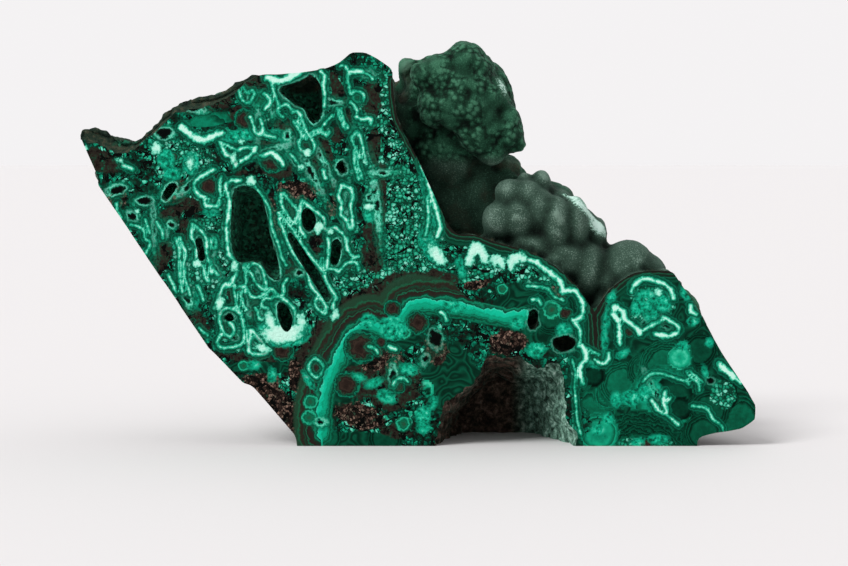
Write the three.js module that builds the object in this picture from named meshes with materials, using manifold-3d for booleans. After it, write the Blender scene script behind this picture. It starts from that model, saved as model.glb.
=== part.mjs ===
// A malachite specimen: a nodule sawn and polished across its front, with the natural grape-like crust left on
// the upper right, a rough crown and back, drusy vugs in the sawn face and an arched hollow at the foot.
// The stone is one solid. Millimetres, +Z up, the sawn face looks along -Y, and the origin is on the flat
// foot, at the centre of the stone's width and depth.
import * as THREE from "three";
import { mergeVertices } from "three/addons/utils/BufferGeometryUtils.js";
import Module from "manifold-3d";

const wasm = await Module();
wasm.setup();

// Driving dimensions
const WIDTH = 180; // tip to tip
const HEIGHT = 107.5;
const DEPTH = 54; // sawn face to the back
const SLAB_DEPTH = 30; // the part of the stone that has the sawn face's outline
const MASS_FRONT = 20; // how far behind the sawn face the rounded mass of the nodule begins
const MASS_BACK = 44; // and ends, under the lumps of the back
const FOOT_ALLOWANCE = 9; // every piece of the stone reaches this far below the foot before the foot is sawn
const FACE_Y = -DEPTH / 2;
const CENTRE = new THREE.Vector2(0, 46); // the stone tapers towards this point as it goes back
const SLAB_TAPER = 0.13; // how much smaller the slab's outline is at its back
const ROUGHNESS = 0.9; // height of the broken surface's unevenness
const ROUGH_WAVELENGTH = 11;
const OUTLINE_STEP = 4; // spacing of the points along an outline
const SMALLEST_FACET = 0.06; // slivers that the cuts leave are closed up to this size
const MERGE_DISTANCE = 1e-3;
const COARSE_LUMP = 5; // a lump of a smaller radius than this has fewer faces

// Outlines in the sawn face's plane, as [x, z]

// The lower left edge is a second saw cut, with two small chips
const SAWN_EDGE = [
  [-33, 2.5], [-44.6, 16], [-46.8, 16.5], [-56, 26], [-85.4, 69.6], [-85.2, 71.6], [-90, 82.5],
];
// The broken crown, from the left tip to the top of the ridge
const CROWN_EDGE = [
  [-89.7, 84.2], [-88, 84.8], [-83, 83], [-76, 80.2], [-70, 85], [-64, 91], [-58, 92.4], [-53, 93.2],
  [-48, 96], [-43, 98.7], [-36, 98.8], [-28, 99.8], [-22, 101.3], [-17, 105], [-12, 103.5], [-7.3, 100.4],
];
// Where the saw went through the crust: down the ridge and along to the crease
const RIDGE_EDGE = [
  [-7, 97], [-5.8, 87], [-1, 77.5], [4.8, 65], [9, 57], [15, 56.2], [21, 54], [30, 51.5], [39, 45.5],
  [44, 39.5], [46.5, 35.2],
];
const SHOULDER_EDGE = [[48.5, 38.5], [50.5, 41.5], [56, 45.5], [61, 46.7], [67.5, 46.5]];
// The right end, rubbed round, down to the step above the foot
const ROUNDED_END = [
  [75, 35.5], [80, 26], [84, 19.8], [89.5, 11.5], [89.9, 7], [86, 4.3], [77, 2.9], [74.3, 2],
];
const FOOT_LEFT = -32.4;
const FOOT_RIGHT = 74.5;

// The nodule behind the slab, which shows above the ridge and the shoulder
const MASS_EDGE = [
  [-36, 6], [-55, 30], [-80, 67], [-84, 78], [-70, 82], [-58, 89], [-44, 95], [-24, 98], [-10, 96],
  [2, 95], [14, 93], [21, 84], [23, 74.5], [31, 68], [41, 64], [47, 58], [50.5, 51.5], [59, 50.5],
  [65.5, 46.5], [76, 33], [84, 17], [85, 7], [74, 2],
];

// Grape-like lumps as [x, depth behind the sawn face, z, x radius, depth radius, z radius]
const LOBE_LUMPS = [
  [12.2, 19, 101.6, 6.2, 9, 6.8], [14.8, 20, 100, 5.8, 9, 6.2], [2, 16, 99, 4.5, 6, 4.3], [6, 17, 99, 6, 8, 5.6],
  [3.6, 16, 90.6, 4.3, 6, 6], [11.5, 15, 92.5, 9, 8, 9], [18.8, 19, 93.4, 5.6, 9, 5.8], [24.2, 18, 84.4, 4, 7, 6.6],
  [15.8, 17, 85.3, 7.2, 8, 7.6], [19.6, 18, 78.6, 4.5, 6, 4.6], [26.4, 18, 80.2, 2.6, 4, 2.6],
  [-2.6, 30, 100.6, 3.4, 6, 3.6], [3.8, 29, 102.2, 3, 5, 3], [1, 31, 93, 7, 10, 9],
];
const CHANNEL_LUMPS = [
  [7, 32, 78, 13, 17, 14], [14, 36, 70, 13, 15, 12], [22, 32, 70, 8, 12, 8], [0, 36, 88, 9, 14, 12],
  [14, 40, 90, 13, 13, 16],
];
const GRAPE_LUMPS = [
  [21.6, 10, 59.9, 4.9, 8, 5.2], [26.4, 10, 60.2, 5.2, 9, 5.6], [24.4, 14, 67, 4.2, 8, 4.2],
  [29, 13, 66.3, 4.4, 8, 4.6], [28.6, 18, 70.6, 1.9, 5, 2.2], [33.2, 18, 69.6, 2.9, 6, 4],
  [31.6, 12, 62, 5.6, 9, 6.6], [36.8, 10, 58.6, 4.2, 9, 8], [41.8, 13, 59, 4.2, 9, 7.6], [38, 20, 64, 4.2, 8, 4.4],
  [44, 19, 59, 4.2, 9, 4.4], [48, 20, 56, 3.4, 9, 4.4], [30, 13, 52.5, 8, 11, 5.6], [38, 12, 48.8, 8, 11, 6.6],
  [45, 14, 46, 6, 11, 8.4], [33, 26, 62, 12, 12, 8],
];
const SHOULDER_LUMPS = [
  [56.5, 14, 46.8, 7.4, 13, 7.8], [60.8, 15, 43.6, 6.8, 13, 7.6], [65.6, 15, 39.6, 6.2, 13, 6.8], [51, 15, 43.5, 5, 11, 7],
];
const CROWN_LUMPS = [
  [-80, 16, 74, 8, 15, 7.6], [-71, 24, 74, 9, 14, 8.4], [-62, 19, 82, 10, 14, 9.4], [-50, 26, 85, 11, 14, 10],
  [-38, 18, 88, 9, 13, 10.4], [-27, 27, 90, 10, 15, 11], [-15, 18, 95, 7, 13, 9.2],
];
const BACK_LUMPS = [
  [-64, 33, 70, 20, 13, 14], [-42, 37, 77, 22, 13, 17], [-16, 39, 82, 20, 14, 17], [-48, 38, 50, 20, 12, 19],
  [-22, 42, 55, 21, 12, 19], [4, 42, 66, 20, 12, 19], [-18, 40, 22, 20, 13, 20], [10, 43, 34, 21, 11, 21],
  [33, 41, 44, 20, 12, 17], [40, 42, 18, 20, 12, 19], [62, 36, 26, 19, 12, 18], [11, 43, 84, 13, 11, 13],
];

// Hollows in the sawn face, each an outline and how deep it goes
const VUGS = [
  { depth: 17, edge: [[-49, 69], [-44, 69.2], [-41, 65.5], [-39.5, 57], [-37, 49], [-37, 43.5], [-39.5, 44.5],
    [-42.5, 49], [-48.5, 48.5], [-50, 56], [-49.7, 64]] },
  { depth: 9, edge: [[-36.6, 60.5], [-33, 56], [-29, 50], [-25.6, 45], [-22.8, 38], [-23.8, 37], [-28, 43.5],
    [-32, 49.5], [-35.5, 56.5]] },
  { depth: 9, edge: [[-30.6, 64.3], [-27, 61], [-27.8, 57.5], [-29.8, 56.8], [-31.3, 60]] },
  { depth: 9, edge: [[-59.2, 57], [-57.4, 56], [-56.6, 49.5], [-55.9, 45.2], [-57.2, 46.5], [-59, 51.5]] },
  { depth: 9, edge: [[-37.4, 39.2], [-33.5, 35.5], [-34.2, 30.3], [-36, 30.3], [-37.8, 36]] },
  { depth: 7, edge: [[-51.5, 36], [-48, 34], [-47, 29.5], [-49.5, 27.2], [-52.3, 28.2], [-49.3, 29.3],
    [-49, 32.5], [-52.2, 34]] },
  { depth: 8, edge: [[-23, 56.2], [-21, 55.4], [-20.6, 51], [-21.8, 47.8], [-23.6, 48], [-23.2, 52]] },
  { depth: 13, edge: [[-38, 95.5], [-33, 96], [-28.5, 98.6], [-26, 96.5], [-25.4, 91], [-25.8, 86.5], [-28.6, 85],
    [-30, 89], [-34.5, 91.5]] },
  { depth: 9, edge: [[-22.3, 78.6], [-20.4, 76], [-18.3, 70.8], [-19.8, 70.8], [-22.2, 74.5]] },
  { depth: 8, edge: [[-63.6, 70.2], [-64.5, 67.5], [-69.6, 63.2], [-67.8, 67], [-66.4, 69.6]] },
  { depth: 11, edge: [[29.4, 37.4], [31.4, 36.6], [31.6, 33], [30.4, 29.8], [28.9, 30.6]] },
  { depth: 8, edge: [[35.2, 28.8], [41.5, 29], [41.6, 26.4], [38, 25], [35.4, 26.2]] },
];
// The hollow at the foot is an arch whose right side opens out towards the face
const CAVE_MOUTH = [
  [2, -12], [3, 1], [5, 8], [9, 13.8], [13.4, 18], [17.3, 21.6], [18, 25], [27.5, 25], [30.5, 22.5], [35, 24],
  [39.5, 21.5], [41, 14], [42, 5.5], [43.5, 1], [44, -12],
];
const CAVE_DEPTH = 31;
const CAVE_BACK = new THREE.Vector2(19, 6); // the hollow narrows towards this point
const CAVE_BACK_SHARE = 0.5; // how wide it still is there

// Smooth unevenness between -1 and 1, from waves that don't share a period
function unevenness(p, wavelength) {
  const k = (2 * Math.PI) / wavelength;
  const a = Math.sin(k * (p.x + 0.43 * p.z) + 1.3) * Math.cos(k * (0.71 * p.y - 0.4 * p.x) + 0.4);
  const b = Math.sin(k * (1.37 * p.z - 0.52 * p.y) - 0.8) * Math.cos(k * (0.93 * p.x + 0.35 * p.z) + 2.1);
  const c = Math.sin(k * (2.1 * p.y + 1.1 * p.x) + 0.6) * Math.cos(k * (1.9 * p.z - 0.7 * p.x));
  return (a + b + 0.6 * c) / 2;
}

const toVectors = (points) => points.map(([x, z]) => new THREE.Vector2(x, z));

// A natural edge runs as a smooth curve through its points, a sawn one as straight lines
function alongCurve(points, step = OUTLINE_STEP) {
  const curve = new THREE.SplineCurve(toVectors(points));
  return curve.getSpacedPoints(Math.max(2, Math.round(curve.getLength() / step)));
}

function alongLines(points, step = OUTLINE_STEP) {
  const corners = toVectors(points);
  return corners.flatMap((corner, i) => {
    if (i === corners.length - 1) return [corner];
    const next = corners[i + 1];
    const pieces = Math.max(1, Math.round(corner.distanceTo(next) / step));
    return Array.from({ length: pieces }, (_, n) => corner.clone().lerp(next, n / pieces));
  });
}

// The same mesh with the vertices that its faces share merged into one
function joined(geometry) {
  const bare = geometry.clone();
  for (const name of ["normal", "uv"]) bare.deleteAttribute(name);
  return mergeVertices(bare, MERGE_DISTANCE);
}

// A closed mesh made into a solid
function toSolid(geometry) {
  const merged = joined(geometry);
  return new wasm.Manifold(
    new wasm.Mesh({
      numProp: 3,
      vertProperties: merged.attributes.position.array,
      triVerts: new Uint32Array(merged.index.array),
    }),
  );
}

// Moves every vertex by a function of its own place
function reshape(geometry, move) {
  const merged = joined(geometry);
  const place = merged.attributes.position;
  const p = new THREE.Vector3();
  for (let i = 0; i < place.count; i++) {
    p.fromBufferAttribute(place, i);
    move(p);
    place.setXYZ(i, p.x, p.y, p.z);
  }
  return merged;
}

// An outline drawn out from one depth to another, in the stone's frame, in steps that can be reshaped
function drawnBack(points, from, to, steps) {
  const extruded = new THREE.ExtrudeGeometry(new THREE.Shape(points), {
    depth: to - from,
    steps,
    bevelEnabled: false,
  });
  extruded.rotateX(Math.PI / 2); // the outline's y becomes z, and the draw runs towards -Y
  extruded.translate(0, FACE_Y + to, 0);
  return extruded;
}

const depthOf = (p) => p.y - FACE_Y;

function taper(p, centre, share) {
  p.x = centre.x + (p.x - centre.x) * share;
  p.z = centre.y + (p.z - centre.y) * share;
}

function roughen(p, height = ROUGHNESS) {
  const spread = unevenness(p, ROUGH_WAVELENGTH) * height;
  const away = new THREE.Vector2(p.x - CENTRE.x, p.z - CENTRE.y).normalize();
  p.x += away.x * spread;
  p.z += away.y * spread;
}

function slab() {
  const outline = [
    new THREE.Vector2(FOOT_LEFT, -FOOT_ALLOWANCE),
    new THREE.Vector2(FOOT_LEFT, 0),
    ...alongLines(SAWN_EDGE, 2 * OUTLINE_STEP),
    ...alongCurve(CROWN_EDGE),
    ...alongCurve(RIDGE_EDGE),
    ...alongCurve(SHOULDER_EDGE),
    ...alongCurve(ROUNDED_END),
    new THREE.Vector2(FOOT_RIGHT, 0),
    new THREE.Vector2(FOOT_RIGHT, -FOOT_ALLOWANCE),
  ];
  const drawn = drawnBack(outline, 0, SLAB_DEPTH, 3);
  return toSolid(
    reshape(drawn, (p) => {
      const back = depthOf(p) / SLAB_DEPTH;
      taper(p, CENTRE, 1 - SLAB_TAPER * back ** 1.5);
      roughen(p, 2.2 * ROUGHNESS * back);
    }),
  );
}

function mass() {
  const outline = [
    new THREE.Vector2(-34, -FOOT_ALLOWANCE),
    ...alongCurve(MASS_EDGE, 1.5 * OUTLINE_STEP),
    new THREE.Vector2(73, -FOOT_ALLOWANCE),
  ];
  const drawn = drawnBack(outline, MASS_FRONT, MASS_BACK, 3);
  return toSolid(
    reshape(drawn, (p) => {
      const back = (depthOf(p) - MASS_FRONT) / (MASS_BACK - MASS_FRONT);
      taper(p, CENTRE, 1 - 0.1 * (1 - back) ** 2 - 0.26 * back ** 2.2);
      roughen(p, 1.6 * ROUGHNESS);
    }),
  );
}

function lump([x, depth, z, rx, ry, rz]) {
  const ball = new THREE.IcosahedronGeometry(1, Math.max(rx, rz) > COARSE_LUMP ? 2 : 1);
  const centre = new THREE.Vector3(x, FACE_Y + depth, z);
  return toSolid(
    reshape(ball, (p) => {
      p.set(centre.x + p.x * rx, centre.y + p.y * ry, centre.z + p.z * rz);
      const swell = unevenness(p, ROUGH_WAVELENGTH) * 0.04;
      p.addScaledVector(p.clone().sub(centre), swell);
    }),
  );
}

// A hollow narrows as it goes in and ends in a blunt floor
function vug({ edge, depth }) {
  const closed = new THREE.CatmullRomCurve3(
    edge.map(([x, z]) => new THREE.Vector3(x, z, 0)),
    true,
    "centripetal",
  );
  const around = closed.getPoints(Math.round(edge.length * 1.6)).slice(0, -1);
  const outline = around.map((p) => new THREE.Vector2(p.x, p.y));
  const middle = outline
    .reduce((sum, p) => sum.add(p), new THREE.Vector2())
    .divideScalar(outline.length);
  const drawn = drawnBack(outline, -2, depth, 2);
  return toSolid(reshape(drawn, (p) => taper(p, middle, 1 - 0.35 * Math.max(0, depthOf(p) / depth) ** 2)));
}

function cave() {
  const drawn = drawnBack(alongCurve(CAVE_MOUTH), -2, CAVE_DEPTH, 3);
  return toSolid(
    reshape(drawn, (p) => {
      const back = Math.max(0, depthOf(p) / CAVE_DEPTH);
      taper(p, CAVE_BACK, 1 - (1 - CAVE_BACK_SHARE) * back ** 0.8);
      p.x += unevenness(p, ROUGH_WAVELENGTH) * back;
    }),
  );
}

// What the two saw cuts leave: everything behind the face and above the foot
function sawnStock() {
  const stock = new THREE.BoxGeometry(2 * WIDTH, DEPTH, 2 * HEIGHT);
  stock.translate(0, 0, HEIGHT);
  return toSolid(stock);
}

function specimenSolid() {
  const lumps = [LOBE_LUMPS, CHANNEL_LUMPS, GRAPE_LUMPS, SHOULDER_LUMPS, CROWN_LUMPS, BACK_LUMPS].flat();
  const grown = lumps.reduce((stone, shape) => stone.add(lump(shape)), slab().add(mass()));
  const hollowed = VUGS.reduce((stone, shape) => stone.subtract(vug(shape)), grown.subtract(cave()));
  return outerShell(hollowed.intersect(sawnStock())).simplify(SMALLEST_FACET);
}

// The lumps can close round small gaps deep inside, which the real stone doesn't have: only the outside is kept
function outerShell(solid) {
  return solid.decompose().reduce((a, b) => (b.volume() > a.volume() ? b : a));
}

function toGeometry(solid) {
  const { numProp, vertProperties, triVerts } = solid.getMesh();
  const places = new Float32Array((vertProperties.length / numProp) * 3);
  for (let i = 0; i * numProp < vertProperties.length; i++)
    places.set(vertProperties.subarray(i * numProp, i * numProp + 3), i * 3);
  const geometry = new THREE.BufferGeometry();
  geometry.setAttribute("position", new THREE.BufferAttribute(places, 3));
  geometry.setIndex(new THREE.BufferAttribute(new Uint32Array(triVerts), 1));
  geometry.computeVertexNormals();
  return geometry;
}

const malachite = new THREE.MeshStandardMaterial({ color: 0x0f7a58, roughness: 0.4, metalness: 0 });

const specimen = new THREE.Mesh(toGeometry(specimenSolid()), malachite);
specimen.name = "malachite_specimen";

const stone = new THREE.Group();
stone.add(specimen);

export default stone;
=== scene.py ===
"""A malachite specimen: the polished face, drusy vugs and grape-like crust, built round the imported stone."""

import math
from functools import partial

import bpy
import numpy as np
from bpy.props import FloatProperty, FloatVectorProperty, PointerProperty
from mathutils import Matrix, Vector
from mathutils.kdtree import KDTree


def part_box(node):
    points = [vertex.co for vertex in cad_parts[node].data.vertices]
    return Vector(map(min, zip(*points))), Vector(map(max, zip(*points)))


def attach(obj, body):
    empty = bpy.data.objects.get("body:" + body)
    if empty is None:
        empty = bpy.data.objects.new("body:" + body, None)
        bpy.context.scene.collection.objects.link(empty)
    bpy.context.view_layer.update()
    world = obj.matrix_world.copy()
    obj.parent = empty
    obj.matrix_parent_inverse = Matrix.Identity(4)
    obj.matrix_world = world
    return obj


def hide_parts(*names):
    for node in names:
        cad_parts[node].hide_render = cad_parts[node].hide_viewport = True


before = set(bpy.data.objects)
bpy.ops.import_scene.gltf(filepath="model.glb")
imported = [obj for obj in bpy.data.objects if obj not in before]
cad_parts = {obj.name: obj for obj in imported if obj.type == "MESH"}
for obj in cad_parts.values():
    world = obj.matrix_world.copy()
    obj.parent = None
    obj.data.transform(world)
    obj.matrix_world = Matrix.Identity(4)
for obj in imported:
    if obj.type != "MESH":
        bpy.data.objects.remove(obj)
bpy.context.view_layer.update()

bl_info = {
    "name": "Malachite Specimen",
    "version": (1, 0, 0),
    "blender": (4, 5, 0),
    "location": "View3D > Sidebar > Malachite",
    "description": "Builds a sawn and polished malachite specimen and its studio",
    "category": "Object",
}

MM = 0.001
NODE = "malachite_specimen"
FACE_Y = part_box(NODE)[0].y  # plane of the polished face
FOOT_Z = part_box(NODE)[0].z  # plane of the sawn foot
PROUD = 3 * MM  # how far the face and foot are drawn out before they are sawn again
FACE_SAW = (200, 128, 12)  # mm, the width, height and thickness of what the saw takes off the front
FACE_SAW_MIDDLE = 54  # mm, how high its middle is
FOOT_SAW = (250, 120, 20)  # mm, what the saw takes off below the foot
BAKE_MAP = "OFBake"
FACE_ON_MAP = ((0.005, 0.405), (0.99, 0.59))  # the face's corner and size on the map
REST_ON_MAP = ((0.0025, 0.0), (0.995, 0.395))  # everything else's

CAMERA_AIM = Vector((1.3, -27, 43.4)) * MM
CAMERA_AWAY = 624 * MM
CAMERA_RISE = math.radians(3)
FLOOR_SIZE = 60  # m, so wide that its edge is lost in the light
ROOM_LIGHT = (0.55, 0.94)  # strength below the stone and above it
KEY_FROM = Vector((-0.6, -0.5, 0.75))  # the way towards the main light
KEY_STRENGTH = 2.3
KEY_WIDTH = math.radians(25)

# Everything drawn on the face is in mm, as (x, z) in the face's plane

# Where the rough crown meets the face, from the left tip to the top
CROWN_BORDER = [
    (-93, 83.5), (-88, 80.6), (-84, 79.6), (-80, 77.6), (-76, 78.2), (-72, 81.2), (-68, 84.6), (-64, 88),
    (-59, 89), (-54, 90.6), (-50, 92.4), (-46, 95.6), (-42, 98.4),
]
# Where the saw went through the natural crust: down the ridge, along to the crease and over the shoulder
CRUST_EDGE = [
    (-7, 97), (-5.8, 87), (-1, 77.5), (4.8, 65), (9, 57), (15, 56.2), (21, 54), (30, 51.5), (39, 45.5),
    (44, 39.5), (46.5, 35.2), (48.5, 38.5), (50.5, 41.5), (56, 45.5), (61, 46.7), (67.5, 46.5),
]
# The middle of the bright band that arches over the hollow, from the foot on the left to the right
ARCH = [
    (-26, 3), (-26.2, 9), (-25.2, 14.5), (-23.4, 20), (-20.6, 25.2), (-17.6, 30.2), (-13.5, 32.6),
    (-8.6, 31.4), (-5, 34.4), (-2.4, 37.4), (2.5, 38), (8.6, 37.3), (13, 36.7), (17.6, 35.6), (23, 34.7),
    (28, 35),
]
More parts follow.
